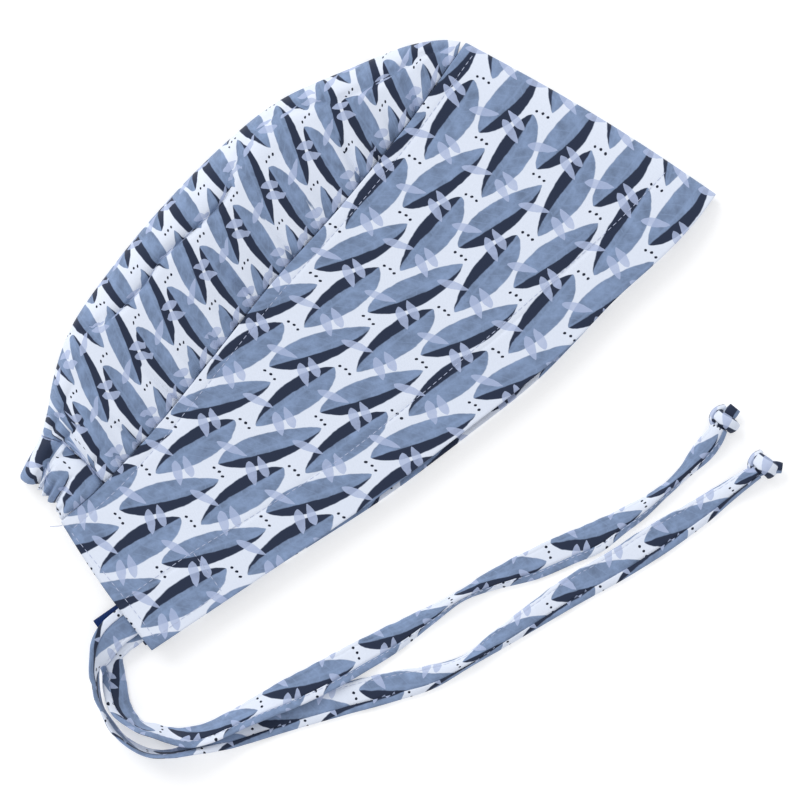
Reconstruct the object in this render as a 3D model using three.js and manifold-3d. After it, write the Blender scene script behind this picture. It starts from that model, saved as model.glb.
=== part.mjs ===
// A surgical scrub cap of printed cotton, lying on its side: a folded brow band, a gathered crown,
// an elastic casing at the nape, two flat ties with knotted ends and a small side tab.
// Millimetres. X runs along the rim from the nape to the brow, Y from the rim to the crown, and Z
// up from the table. The near side of the cap faces up, the far side lies on the table.
import * as THREE from "three";
import { mergeVertices } from "three/addons/utils/BufferGeometryUtils.js";
import Module from "manifold-3d";

const wasm = await Module();
wasm.setup();

// Driving dimensions
const RIM_LENGTH = 280; // from the nape end to the brow fold, half of a 560 mm head band
const CLOTH = 1.3; // wall of one side of the cap
const HEM = 2.0; // wall where the rim is turned up and sewn
const HEM_WIDTH = 21.5; // height of the turned rim
const HEM_STEP = 1.2; // slope between the hem and the single cloth
const CASING_WALL = 1.0; // gathered cloth at the nape
const GAP = 0.35; // left between pieces that are sewn together
const TIE_WIDTH = 12.6;
const TIE_THICKNESS = 1.5;
const TIE_CHAMFER = 0.5; // at the tie's long edges
const ORIGIN = { x: 134.05, y: 60.87 }; // middle of the cap on the table, from the rim's nape end

// Folds at the edge of the lying cap: where the near side turns under to the far side
const BROW_FOLD = { height: 3.0, nearRoll: 22, farRoll: 3 };
const CROWN_FAR_ROLL = 6; // how far the far side lifts off the table at the crown's edge
const CROWN_START = 6; // the crown's cloth starts this far behind the brow fold
const CASING_FOLD = { height: 3.4, nearRoll: 9, farRoll: 4 };
const BROW_BOW = 2.1; // the brow fold bows out at its middle
const NAPE_BOW = 1.2; // and so does the band's nape end
const SHORT_ROW_ROLL = { near: 0.85, far: 0.7 }; // the most of a short crown row that its rolls take
const SEAM_SETBACK = { band: 0.455, casing: 0.7 }; // the crown starts this far past its neighbours
const GATHER = { swell: 0.6, fall: 0.6 }; // gathers swell fast past the seam and fall off outwards
const CREASE_FADE = 6; // creases fade out this close to the seam

// How finely each cloth is divided, as counts of strips
const BAND_STEPS = { near: 26, nearRoll: 5, farRoll: 3, far: 16, aboveHem: 7 };
const CROWN_STEPS = { columns: 44, perGather: 4, near: 8, nearRoll: 5, farRoll: 3, far: 3 };
const CASING_STEPS = { ribs: 4, perPleat: 4, nearRoll: 4, farRoll: 2, far: 5 };

// The rim: how far the near and the far side bow out from the straight line between its ends
const rimRows = [
  { x: 0, near: 0, far: 0 },
  { x: 40, near: -3.6, far: -3.2 },
  { x: 75, near: -6.7, far: -7.4 },
  { x: 108, near: -9.0, far: -10.8 },
  { x: 150, near: -10.1, far: -12.3 },
  { x: 180, near: -10.6, far: -12.5 },
  { x: 203, near: -9.5, far: -10.0 },
  { x: 225, near: -6.9, far: -6.7 },
  { x: 250, near: -5.5, far: -5.3 },
  { x: 268, near: -2.9, far: -2.8 },
  { x: RIM_LENGTH, near: 0, far: 0 },
];

// The seam where the crown is gathered into the band
const seamRows = [
  { x: 3.9, y: 60.6 },
  { x: 26, y: 61.5 },
  { x: 57, y: 66 },
  { x: 90, y: 73 },
  { x: 125.4, y: 80.8 },
  { x: 163.5, y: 87 },
  { x: 206.6, y: 96.3 },
  { x: 241.6, y: 106.4 },
];

// Height of the near side's face over the table, along the cap
const heightRows = [
  { x: 0, rim: 9.0, middle: 9.2, seam: 9.0 },
  { x: 45, rim: 9.0, middle: 10.0, seam: 10.2 },
  { x: 100, rim: 9.4, middle: 11.2, seam: 12.2 },
  { x: 160, rim: 9.8, middle: 12.0, seam: 13.4 },
  { x: 215, rim: 9.2, middle: 11.0, seam: 11.6 },
  { x: 250, rim: 9.0, middle: 9.8, seam: 9.8 },
  { x: RIM_LENGTH, rim: 9.0, middle: 9.4, seam: 9.4 },
];

// Outer edge of the lying crown, from the brow to the casing
const crownEdgeRows = [
  { x: 240.2, y: 108.1 },
  { x: 236.6, y: 111.8 },
  { x: 224.4, y: 119.1 },
  { x: 199, y: 127.1 },
  { x: 170.5, y: 134.3 },
  { x: 143.2, y: 134.4 },
  { x: 111.6, y: 130.8 },
  { x: 82.6, y: 125.1 },
  { x: 54.2, y: 116.8 },
  { x: 38.0, y: 107.1 },
  { x: 25.2, y: 96.4 },
  { x: 18.6, y: 91.6 },
];

// Puff of the crown from the brow to the casing: the near side's greatest height, the height of
// the middle of its edge roll, the width of that roll, and the depth of the gathers at the seam
const puffRows = [
  { along: 0, peak: 7.2, edge: 3.0, roll: 4, gather: 0.3 },
  { along: 0.1, peak: 11.5, edge: 3.6, roll: 9, gather: 1.0 },
  { along: 0.25, peak: 15.5, edge: 4.6, roll: 13, gather: 1.3 },
  { along: 0.45, peak: 18.5, edge: 5.4, roll: 15, gather: 1.3 },
  { along: 0.65, peak: 17.5, edge: 5.2, roll: 14, gather: 1.4 },
  { along: 0.8, peak: 14, edge: 4.6, roll: 12, gather: 1.5 },
  { along: 0.92, peak: 11.0, edge: 3.8, roll: 9, gather: 1.0 },
  { along: 1, peak: 8.6, edge: 3.4, roll: 5, gather: 0.3 },
];

// Long soft creases of the crown, valleys in its near side: ends, depth and half width
const creaseRows = [
  { x1: 232, y1: 108, x2: 211, y2: 113.8, depth: 0.9, width: 4.5 },
  { x1: 211, y1: 113.8, x2: 191.7, y2: 118, depth: 1.5, width: 5 },
  { x1: 191.7, y1: 118, x2: 170, y2: 127, depth: 1.2, width: 5 },
  { x1: 150, y1: 125, x2: 130, y2: 117, depth: 1.4, width: 5 },
  { x1: 130, y1: 117, x2: 97, y2: 114, depth: 1.8, width: 5 },
  { x1: 97, y1: 114, x2: 68, y2: 109.3, depth: 1.8, width: 5 },
  { x1: 68, y1: 109.3, x2: 50, y2: 112, depth: 1.0, width: 5 },
  { x1: 36, y1: 85, x2: 22, y2: 84, depth: 1.8, width: 4 },
  { x1: 44, y1: 74, x2: 48, y2: 65, depth: 1.3, width: 4 },
];

// Seam between the crown and the elastic casing, and the casing's free edge, from the band up
const casingSeamRows = [
  { x: 26.0, y: 62.1 },
  { x: 25.6, y: 72 },
  { x: 24.2, y: 80 },
  { x: 22.4, y: 86 },
  { x: 17.9, y: 91.1 },
];
const casingEdgeRows = [
  { x: 4.1, y: 61.0 },
  { x: 4.6, y: 66.4 },
  { x: 4.4, y: 70.6 },
  { x: 3.4, y: 77.6 },
  { x: 1.2, y: 84.6 },
];
const PLEATS = 4; // of the casing, on the near side
const PLEAT_DEPTH = { atSeam: 0.6, atEdge: 1.4 };

// Routes of the ties from between the band's two sides. roll turns the flat section about its
// route: 0 lies flat, and a positive roll lifts its left edge.
const nearTieRows = [
  { x: 14, y: 13.6, z: 5.95, roll: 0, width: 12.6 },
  { x: 6, y: 14.2, z: 5.95, roll: 0, width: 12.6 },
  { x: -2, y: 14.6, z: 5.95, roll: 0, width: 12.6 },
  { x: -9, y: 14.2, z: 7.3, roll: -14, width: 12.6 },
  { x: -15.2, y: 11.9, z: 9.6, roll: -40, width: 12.4 },
  { x: -19.8, y: 8.9, z: 11.2, roll: -64, width: 12.4 },
  { x: -23.6, y: 5.2, z: 9.4, roll: -80, width: 12.4 },
  { x: -28.2, y: -2.4, z: 7.3, roll: -85, width: 12.4 },
  { x: -30.5, y: -12, z: 6.5, roll: -85, width: 12.4 },
  { x: -29.9, y: -21.4, z: 6.5, roll: -84, width: 12.4 },
  { x: -26.4, y: -29.4, z: 6.5, roll: -84, width: 12.4 },
  { x: -20.4, y: -35, z: 6.3, roll: -80, width: 12.2 },
  { x: -14.2, y: -38.4, z: 5.8, roll: -66, width: 11.2 },
  { x: -7.4, y: -40.8, z: 4.4, roll: -42, width: 10 },
  { x: 2.6, y: -44.6, z: 2.2, roll: -14, width: 10.8 },
  { x: 11, y: -47.5, z: 1.1, roll: -3, width: 12 },
  { x: 25, y: -52.9, z: 0.85, roll: 0, width: 12.4 },
  { x: 43.9, y: -60.9, z: 0.85, roll: 0, width: 12.4 },
  { x: 60.3, y: -68.3, z: 0.85, roll: 0, width: 12 },
  { x: 76.1, y: -75.6, z: 0.9, roll: 0, width: 9.7 },
  { x: 92, y: -80, z: 1.1, roll: 0, width: 5.6 },
  { x: 106, y: -81.2, z: 0.9, roll: 0, width: 7.8 },
  { x: 122, y: -82.6, z: 0.85, roll: 0, width: 9.8 },
  { x: 140, y: -84.3, z: 0.85, roll: 0, width: 11.8 },
  { x: 159.8, y: -87.5, z: 0.85, roll: 0, width: 12.4 },
  { x: 179.8, y: -89.8, z: 0.85, roll: 0, width: 12.6 },
  { x: 198, y: -91.7, z: 0.9, roll: 0, width: 10.5 },
  { x: 211.4, y: -92.3, z: 1.6, roll: 0, width: 8.2 },
  { x: 220.4, y: -92.8, z: 3.4, roll: 0, width: 6.8 },
  { x: 224.8, y: -93, z: 4, roll: 0, width: 6.4 },
];
const farTieRows = [
  { x: 14, y: 10.4, z: 4.15, roll: 0, width: 12.6 },
  { x: 6, y: 10.6, z: 4.15, roll: 0, width: 12.6 },
  { x: -2, y: 10.6, z: 4.15, roll: 0, width: 12 },
  { x: -8.5, y: 10.2, z: 4.2, roll: 0, width: 10.5 },
  { x: -14.4, y: 8, z: 3.5, roll: -2, width: 9.6 },
  { x: -17.6, y: 2.4, z: 2.2, roll: -12, width: 9.3 },
  { x: -21, y: -3, z: 3.9, roll: -34, width: 11 },
  { x: -23.6, y: -9.4, z: 5.7, roll: -56, width: 12.4 },
  { x: -23.5, y: -15.2, z: 6.4, roll: -70, width: 12.6 },
  { x: -22, y: -20.6, z: 6.6, roll: -78, width: 12.6 },
  { x: -18.6, y: -25.2, z: 6.3, roll: -70, width: 12.6 },
  { x: -15.6, y: -29.8, z: 6, roll: -62, width: 12.4 },
  { x: -10.2, y: -35.2, z: 5.5, roll: -52, width: 12 },
  { x: -2.6, y: -38.8, z: 5, roll: -48, width: 10.8 },
  { x: 5.5, y: -40.9, z: 4.6, roll: -46, width: 10.6 },
  { x: 16, y: -43.2, z: 3.9, roll: -34, width: 11 },
  { x: 32, y: -47, z: 2.7, roll: -12, width: 12.2 },
  { x: 47, y: -50.3, z: 2.4, roll: -8, width: 12.6 },
  { x: 60.3, y: -52.6, z: 1.6, roll: -4, width: 12.4 },
  { x: 75, y: -55.2, z: 0.95, roll: 0, width: 10.8 },
  { x: 90, y: -57.1, z: 0.9, roll: 0, width: 7.3 },
  { x: 106, y: -58.9, z: 1.1, roll: 0, width: 4.8 },
  { x: 120, y: -62.2, z: 0.9, roll: 0, width: 8.3 },
  { x: 135.2, y: -67.1, z: 0.85, roll: 0, width: 12 },
  { x: 150, y: -71, z: 0.85, roll: 0, width: 12.6 },
  { x: 160, y: -74, z: 0.85, roll: 0, width: 12.2 },
  { x: 170, y: -75.2, z: 0.85, roll: 0, width: 9.8 },
  { x: 180, y: -76.3, z: 0.9, roll: 0, width: 8.1 },
  { x: 192, y: -76.7, z: 1.1, roll: 0, width: 5.2 },
  { x: 204, y: -75.8, z: 0.9, roll: 0, width: 5.8 },
  { x: 213.2, y: -74.2, z: 1.6, roll: 0, width: 8.8 },
  { x: 220.2, y: -72.5, z: 3.2, roll: 0, width: 8.2 },
  { x: 224.4, y: -70.9, z: 3.9, roll: 0, width: 6.8 },
];
const STEPS_PER_ROW = 2; // straight pieces of a tie between two rows of its route

// Overhand knots at the ties' ends: place, size and heading, and the short end that sticks out
const knotSizes = {
  knot_near: { x: 228, y: -93.1, long: 11.6, wide: 10, high: 8.4, turn: 4, stub: 4.5 },
  knot_far: { x: 227.4, y: -70.3, long: 10.4, wide: 10.8, high: 8.2, turn: 22, stub: 4 },
};
// Shapes of a knot's parts, as shares of its long, wide and high sizes, and their tilts
const KNOT_LUMP = { long: 0.86, wide: 0.86, high: 0.92 };
const KNOT_TURN = { thick: 0.19, high: 1.1, tilt: 24 }; // the turn of the tie over the lump
const KNOT_STUB = { wide: 0.5, aside: 0.1, thick: 2.2, rise: 0.6, tilt: -12 }; // thick, rise in mm

// The plain tab at the band's nape end, partly under the near tie
const TAB = { x: -3.4, y: 17.1, length: 16, width: 11, thickness: 0.8, turn: -4 };

// Colours of the cloth and of the tab
const PRINTED_COTTON = { color: "#aab6d0", roughness: 0.9, metalness: 0 };
const NAVY_SATIN = { color: "#0b2a5a", roughness: 0.5, metalness: 0 };

const radians = THREE.MathUtils.degToRad;

// A column of a table at any place between its rows, on a smooth curve through them.
function tableAt(rows, key, place, column) {
  const last = rows.length - 1;
  const rising = rows[last][key] > rows[0][key];
  let i = 0;
  while (i < last - 1 && (rising ? place > rows[i + 1][key] : place < rows[i + 1][key])) i += 1;
  const slope = (a, b) => (rows[b][column] - rows[a][column]) / (rows[b][key] - rows[a][key]);
  const startSlope = i > 0 ? slope(i - 1, i + 1) : slope(i, i + 1);
  const endSlope = i < last - 1 ? slope(i, i + 2) : slope(i, i + 1);
  const span = rows[i + 1][key] - rows[i][key];
  const t = THREE.MathUtils.clamp((place - rows[i][key]) / span, 0, 1);
  const rise = rows[i + 1][column] - rows[i][column];
  const bend = startSlope * span * (1 - t) + endSlope * span * -t - rise * (1 - 2 * t);
  return rows[i][column] + rise * t + bend * t * (1 - t);
}

// A route in plan through the rows of a table, measured along its length.
function planRoute(rows) {
  const route = new THREE.CurvePath();
  rows.slice(1).forEach((row, i) => {
    const from = new THREE.Vector2(rows[i].x, rows[i].y);
    route.add(new THREE.LineCurve(from, new THREE.Vector2(row.x, row.y)));
  });
  return route;
}

// Quarter of an ellipse: 0 at the fold, 1 where the cloth has come level.
const rollRise = (share) => Math.sqrt(1 - (1 - Math.min(share, 1)) ** 2);

// Depth of the crown's long creases at a point in plan.
function creaseDepth(point) {
  const depths = creaseRows.map((crease) => {
    const from = new THREE.Vector3(crease.x1, crease.y1, 0);
    const line = new THREE.Line3(from, new THREE.Vector3(crease.x2, crease.y2, 0));
    const spot = new THREE.Vector3(point.x, point.y, 0);
    const nearest = line.closestPointToPoint(spot, true, new THREE.Vector3());
    return crease.depth * Math.exp(-((nearest.distanceTo(spot) / crease.width) ** 2));
  });
  return Math.max(...depths);
}

// Cloth of a given wall round a grid of points on its middle surface. The outer face is on the
// side of the turn from along a row to the next row, every row has as many points, and the cut
// edges stand square, so that neighbours meet face to face.
function clothShell(rows) {
  const down = rows.length;
  const across = rows[0].length;
  const faces = [];
  const outer = [];
  const inner = [];
  rows.forEach((row, j) => {
    row.forEach((spot, i) => {
      const along = row[Math.min(i + 1, across - 1)].point.clone();
      along.sub(row[Math.max(i - 1, 0)].point);
      const aside = rows[Math.min(j + 1, down - 1)][i].point.clone();
      aside.sub(rows[Math.max(j - 1, 0)][i].point);
      const half = along.clone().cross(aside);
      if (j === 0 || j === down - 1) half.projectOnPlane(aside.setZ(0).normalize());
      if (i === 0 || i === across - 1) half.set(0, 0, half.z);
      half.setLength(spot.wall / 2);
      outer.push(spot.point.clone().add(half));
      inner.push(spot.point.clone().sub(half));
    });
  });
  const count = outer.length;
  for (let j = 0; j < down - 1; j += 1) {
    for (let i = 0; i < across - 1; i += 1) {
      const a = j * across + i;
      const b = a + 1;
      const c = b + across;
      const d = a + across;
      faces.push([a, b, c], [a, c, d]);
      faces.push([count + a, count + c, count + b], [count + a, count + d, count + c]);
    }
  }
  const border = [];
  for (let i = 0; i < across - 1; i += 1) border.push(i);
  for (let j = 0; j < down - 1; j += 1) border.push(j * across + across - 1);
  for (let i = across - 1; i > 0; i -= 1) border.push((down - 1) * across + i);
  for (let j = down - 1; j > 0; j -= 1) border.push(j * across);
  border.forEach((a, k) => {
    const b = border[(k + 1) % border.length];
    faces.push([b, a, count + a], [b, count + a, count + b]);
  });
  const geometry = new THREE.BufferGeometry().setFromPoints([...outer, ...inner]);
  geometry.setIndex(faces.flat());
  geometry.computeVertexNormals();
  return geometry;
}

// Middle height of the band's near side, and how it comes down to the brow fold.
function bandHeight(along, up, toFold, wall) {
  const x = along * RIM_LENGTH;
  const rim = tableAt(heightRows, "x", x, "rim");
  const middle = tableAt(heightRows, "x", x, "middle");
  const seam = tableAt(heightRows, "x", x, "seam");
  const curved = rim * (1 - up) * (1 - 2 * up) + middle * 4 * up * (1 - up) + seam * up * (2 * up - 1);
  const level = curved - wall / 2;
  return BROW_FOLD.height + (level - BROW_FOLD.height) * rollRise(toFold / BROW_FOLD.nearRoll);
}

const seamStart = seamRows[0].x;
const seamEnd = seamRows[seamRows.length - 1].x;

// A point of the band in plan: along from the nape to the brow, up from the rim to the seam.
function bandPlan(along, up, side) {
  const rimX = along * RIM_LENGTH;
  const seamX = THREE.MathUtils.lerp(seamStart, seamEnd, along);
  const bow = Math.sin(Math.PI * up) * (BROW_BOW * along ** 6 - NAPE_BOW * (1 - along) ** 6);
  const rimY = tableAt(rimRows, "x", rimX, side);
  const seamY = tableAt(seamRows, "x", seamX, "y");
  const x = THREE.MathUtils.lerp(rimX, seamX, up) + bow;
  return new THREE.Vector2(x, THREE.MathUtils.lerp(rimY, seamY, up));
}

// Shares from the start of a row to its fold and on to its end, with close steps in the roll.
function foldSteps({ near, nearRoll, farRoll, far }) {
  const steps = [];
  for (let i = 0; i < near; i += 1) steps.push({ side: "near", level: i / near });
  for (let i = nearRoll; i > 0; i -= 1) steps.push({ side: "near", turn: i / nearRoll });
  for (let i = 0; i < farRoll; i += 1) steps.push({ side: "far", turn: i / farRoll });
  for (let i = far; i >= 0; i -= 1) steps.push({ side: "far", level: i / far });
  return steps;
}

// How far a step lies from the fold, on a row of the given length with rolls of the given width.
function distanceFromFold(step, length, nearRoll, farRoll) {
  const roll = step.side === "near" ? nearRoll : farRoll;
  if (step.turn === undefined) return length - step.level * (length - roll);
  return roll * (1 - Math.cos((step.turn * Math.PI) / 2));
}

// Middle height of the far side, flat on the table and rising to the fold.
function farHeight(toFold, wall, foldHeight, farRoll) {
  return foldHeight - (foldHeight - wall / 2) * rollRise(toFold / farRoll);
}

// The band: one strip folded at the brow, with its rim turned up as a hem.
function bandGeometry() {
  const steps = foldSteps(BAND_STEPS);
  const hemHeights = [0, HEM_WIDTH / 2, HEM_WIDTH - HEM_STEP, HEM_WIDTH];
  const rows = [];
  const rowCount = hemHeights.length + BAND_STEPS.aboveHem;
  for (let j = 0; j < rowCount; j += 1) {
    const row = steps.map((step) => {
      const wall = j < hemHeights.length - 1 ? HEM : CLOTH;
      const fold = bandPlan(1, 0.5, "near").x - bandPlan(0, 0.5, "near").x;
      const toFold = distanceFromFold(step, fold, BROW_FOLD.nearRoll, BROW_FOLD.farRoll);
      const along = (1 - toFold / fold) * (1 - wall / 2 / fold);
      const height = bandPlan(along, 1, step.side).distanceTo(bandPlan(along, 0, step.side));
      const hemTop = HEM_WIDTH / height;
      const above = (j - hemHeights.length + 1) / BAND_STEPS.aboveHem;
      const up = j < hemHeights.length ? hemHeights[j] / height : hemTop + (1 - hemTop) * above;
      const plan = bandPlan(along, up, step.side);
      const near = step.side === "near";
      const z = near
        ? bandHeight(along, up, toFold, wall)
        : farHeight(toFold, wall, BROW_FOLD.height, BROW_FOLD.farRoll);
      return { point: new THREE.Vector3(plan.x, plan.y, z), wall };
    });
    rows.push(row);
  }
  return clothShell(rows);
}

// The crown: gathered into the band and the casing, and folded over at its outer edge.
function crownGeometry() {
  const { columns, perGather } = CROWN_STEPS;
  const steps = foldSteps(CROWN_STEPS);
  const firstX = seamEnd - CROWN_START;
  const lastX = casingSeamRows[0].x + CROWN_START;
  const raised = Array.from({ length: columns }, (_, k) => {
    const x = THREE.MathUtils.lerp(firstX, lastX, k / (columns - 1));
    return { x, y: tableAt(seamRows, "x", x, "y") + SEAM_SETBACK.band };
  });
  const corner = { x: casingSeamRows[0].x + GAP, y: casingSeamRows[0].y };
  const side = casingSeamRows.slice(1, -1).map((row) => ({ x: row.x + SEAM_SETBACK.casing, y: row.y }));
  const inside = planRoute([...raised, corner, ...side]);
  const edge = new THREE.SplineCurve(crownEdgeRows.map((row) => new THREE.Vector2(row.x, row.y)));
  const seamShare = planRoute([...raised, corner]).getLength() / inside.getLength();
  const rows = [];
  for (let j = 0; j <= columns; j += 1) {
    const along = j / columns;
    const start = inside.getPointAt(along);
    const end = edge.getPointAt(along);
    const length = start.distanceTo(end);
    end.lerp(start, CLOTH / 2 / length);
    const puff = (column) => tableAt(puffRows, "along", along, column);
    const roll = Math.min(puff("roll"), SHORT_ROW_ROLL.near * length);
    const farRoll = Math.min(CROWN_FAR_ROLL, SHORT_ROW_ROLL.far * length);
    const bandAlong = (start.x - seamStart) / (seamEnd - seamStart);
    const toBrow = (1 - bandAlong) * (seamEnd - seamStart);
    const onBand = bandHeight(Math.max(bandAlong, 0), 1, toBrow, CLOTH);
    const pastSeam = Math.max(0, (along - seamShare) / (1 - seamShare));
    const startHeight = THREE.MathUtils.lerp(onBand, puff("peak") - CLOTH, pastSeam);
    const row = steps.map((step) => {
      const toFold = distanceFromFold(step, length, roll, farRoll);
      const plan = end.clone().lerp(start, toFold / length);
      const point = new THREE.Vector3(plan.x, plan.y, 0);
      if (step.side === "far") {
        point.z = farHeight(toFold, CLOTH, puff("edge"), farRoll);
        return { point, wall: CLOTH };
      }
      const open = THREE.MathUtils.clamp((length - toFold) / (length - roll), 0, 1);
      const rise = Math.sin((open * Math.PI) / 2);
      const peak = puff("peak") - CLOTH / 2;
      const level = THREE.MathUtils.lerp(startHeight, peak, rise);
      const swell = Math.sin(Math.PI * open ** GATHER.swell) * (1 - GATHER.fall * open);
      const wave = puff("gather") * swell * Math.cos((2 * Math.PI * j) / perGather);
      const free = rollRise(toFold / roll);
      const fade = Math.min(1, (length - toFold) / CREASE_FADE);
      point.z = puff("edge") + (level - puff("edge")) * free;
      point.z += (wave - creaseDepth(plan) * fade) * free;
      return { point, wall: CLOTH };
    });
    rows.push(row);
  }
  return clothShell(rows);
}

// The elastic casing: pleats across it on the near side, folded at the cap's outer edge.
function casingGeometry() {
  const { ribs, perPleat } = CASING_STEPS;
  const steps = foldSteps({ ...CASING_STEPS, near: PLEATS * perPleat });
  const seam = planRoute(casingSeamRows);
  const edge = planRoute(casingEdgeRows);
  const rows = [];
  for (let j = 0; j <= ribs; j += 1) {
    const out = j / ribs;
    const routeAt = (share) => seam.getPointAt(share).lerp(edge.getPointAt(share), out);
    const length = THREE.MathUtils.lerp(seam.getLength(), edge.getLength(), out);
    const { height, nearRoll, farRoll } = CASING_FOLD;
    const startX = routeAt(0).x;
    const bandAlong = (startX - seamStart) / (seamEnd - seamStart);
    const level = bandHeight(Math.max(bandAlong, 0), 1, seamEnd - startX, CASING_WALL);
    const depth = THREE.MathUtils.lerp(PLEAT_DEPTH.atSeam, PLEAT_DEPTH.atEdge, out);
    const row = steps.map((step) => {
      const toFold = distanceFromFold(step, length, nearRoll, farRoll);
      const plan = routeAt(THREE.MathUtils.clamp(1 - toFold / length, 0, 1));
      plan.y += GAP / 2;
      const point = new THREE.Vector3(plan.x, plan.y, 0);
      if (step.side === "far") {
        point.z = farHeight(toFold, CASING_WALL, height, farRoll);
      } else {
        const open = THREE.MathUtils.clamp((length - toFold) / (length - nearRoll), 0, 1);
        const pleat = depth * Math.sin(2 * Math.PI * PLEATS * open);
        point.z = height + (level + pleat - height) * rollRise(toFold / nearRoll);
      }
      return { point, wall: CASING_WALL };
    });
    rows.push(row);
  }
  return clothShell(rows);
}

// A flat tie laid along its route, with its section turned and narrowed as the rows say.
function tieGeometry(rows, grow) {
  const halfWidth = TIE_WIDTH / 2;
  const halfThickness = TIE_THICKNESS / 2;
  const section = new THREE.Shape();
  section.moveTo(halfWidth, TIE_CHAMFER - halfThickness);
  section.lineTo(halfWidth, halfThickness - TIE_CHAMFER);
  section.lineTo(halfWidth - TIE_CHAMFER, halfThickness);
  section.lineTo(TIE_CHAMFER - halfWidth, halfThickness);
  section.lineTo(-halfWidth, halfThickness - TIE_CHAMFER);
  section.lineTo(-halfWidth, TIE_CHAMFER - halfThickness);
  section.lineTo(TIE_CHAMFER - halfWidth, -halfThickness);
  section.lineTo(halfWidth - TIE_CHAMFER, -halfThickness);
  const steps = (rows.length - 1) * STEPS_PER_ROW;
  const strip = new THREE.ExtrudeGeometry(section, { depth: 1, steps, bevelEnabled: false });
  strip.deleteAttribute("uv");
  strip.deleteAttribute("normal");
  const geometry = mergeVertices(strip, 1e-5);
  const route = new THREE.CatmullRomCurve3(rows.map((row) => new THREE.Vector3(row.x, row.y, row.z)));
  const turns = new THREE.CatmullRomCurve3(
    rows.map((row) => new THREE.Vector3(row.roll, row.width / TIE_WIDTH, 0)),
  );
  const position = geometry.getAttribute("position");
  const up = new THREE.Vector3(0, 0, 1);
  for (let i = 0; i < position.count; i += 1) {
    const share = position.getZ(i);
    const ahead = route.getTangent(share);
    const left = up.clone().cross(ahead).normalize();
    const lift = ahead.clone().cross(left);
    const turn = turns.getPoint(share);
    const angle = radians(turn.x);
    const aside = left.clone().multiplyScalar(Math.cos(angle)).addScaledVector(lift, Math.sin(angle));
    const face = lift.multiplyScalar(Math.cos(angle)).addScaledVector(left, -Math.sin(angle));
    const wide = position.getX(i) * turn.y;
    const thick = position.getY(i);
    const point = route.getPoint(share);
    point.addScaledVector(aside, wide + Math.sign(wide) * grow);
    point.addScaledVector(face, thick + Math.sign(thick) * grow);
    position.setXYZ(i, point.x, point.y, point.z);
  }
  geometry.computeVertexNormals();
  return geometry;
}

// A closed geometry as a solid that can be joined and cut, and back.
function solidOf(geometry) {
  const bare = geometry.clone();
  bare.deleteAttribute("normal");
  bare.deleteAttribute("uv");
  const merged = mergeVertices(bare, 1e-4);
  const vertProperties = new Float32Array(merged.getAttribute("position").array);
  const triVerts = new Uint32Array(merged.index.array);
  return new wasm.Manifold(new wasm.Mesh({ numProp: 3, vertProperties, triVerts }));
}

function geometryOf(solid) {
  const mesh = solid.getMesh();
  const geometry = new THREE.BufferGeometry();
  geometry.setAttribute("position", new THREE.BufferAttribute(mesh.vertProperties, 3));
  geometry.setIndex(new THREE.BufferAttribute(mesh.triVerts, 1));
  geometry.computeVertexNormals();
  return geometry;
}

// An overhand knot: a round lump with one turn of the tie over it and a short end standing out,
// with a seat for the tie that runs into it.
function knotGeometry(size, tieRows) {
  const lump = new THREE.SphereGeometry(0.5, 12, 8);
  lump.scale(size.long * KNOT_LUMP.long, size.wide * KNOT_LUMP.wide, size.high * KNOT_LUMP.high);
  const ring = new THREE.TorusGeometry(0.5 - KNOT_TURN.thick, KNOT_TURN.thick, 6, 14);
  ring.scale(size.long, size.wide, size.high * KNOT_TURN.high);
  ring.rotateX(radians(KNOT_TURN.tilt));
  const end = new THREE.BoxGeometry(size.stub, size.wide * KNOT_STUB.wide, KNOT_STUB.thick);
  end.rotateY(radians(KNOT_STUB.tilt));
  end.translate(size.long / 2, -size.wide * KNOT_STUB.aside, KNOT_STUB.rise);
  let knot = solidOf(lump).add(solidOf(ring)).add(solidOf(end));
  knot = knot.rotate([0, 0, size.turn]).translate([size.x, size.y, 0]);
  const lowest = knot.boundingBox().min[2];
  const tieEnd = tieRows[tieRows.length - 1];
  const deeper = [...tieRows.slice(0, -1), { ...tieEnd, x: tieEnd.x + GAP }];
  const seat = solidOf(tieGeometry(deeper, GAP));
  return geometryOf(knot.translate([0, 0, -lowest]).subtract(seat));
}

function tabGeometry() {
  const geometry = new THREE.BoxGeometry(TAB.length, TAB.width, TAB.thickness);
  geometry.rotateZ(radians(TAB.turn));
  geometry.translate(TAB.x, TAB.y, HEM + GAP + TAB.thickness / 2);
  return geometry;
}

const cap = new THREE.Group();
cap.position.set(-ORIGIN.x, -ORIGIN.y, 0);

function addPiece(name, geometry, finish) {
  const piece = new THREE.Mesh(geometry, new THREE.MeshStandardMaterial(finish));
  piece.name = name;
  cap.add(piece);
}

addPiece("band", bandGeometry(), PRINTED_COTTON);
addPiece("crown", crownGeometry(), PRINTED_COTTON);
addPiece("elastic_casing", casingGeometry(), PRINTED_COTTON);
addPiece("tie_near", tieGeometry(nearTieRows, 0), PRINTED_COTTON);
addPiece("tie_far", tieGeometry(farTieRows, 0), PRINTED_COTTON);
addPiece("knot_near", knotGeometry(knotSizes.knot_near, nearTieRows), PRINTED_COTTON);
addPiece("knot_far", knotGeometry(knotSizes.knot_far, farTieRows), PRINTED_COTTON);
addPiece("side_tab", tabGeometry(), NAVY_SATIN);

export default cap;
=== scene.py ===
"""A surgical scrub cap of printed cotton, lying on its side with its ties laid out beside it.

Metres. X runs along the rim from the nape to the brow, Y from the rim to the crown, and Z up. The
tables give places from the rim's nape end, and every mesh is moved from there to the cap's middle.
"""

import math

import bmesh
import bpy
import numpy as np
from bpy.props import FloatProperty, FloatVectorProperty, PointerProperty
from mathutils import Euler, Matrix, Vector, noise
from mathutils.bvhtree import BVHTree


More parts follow.
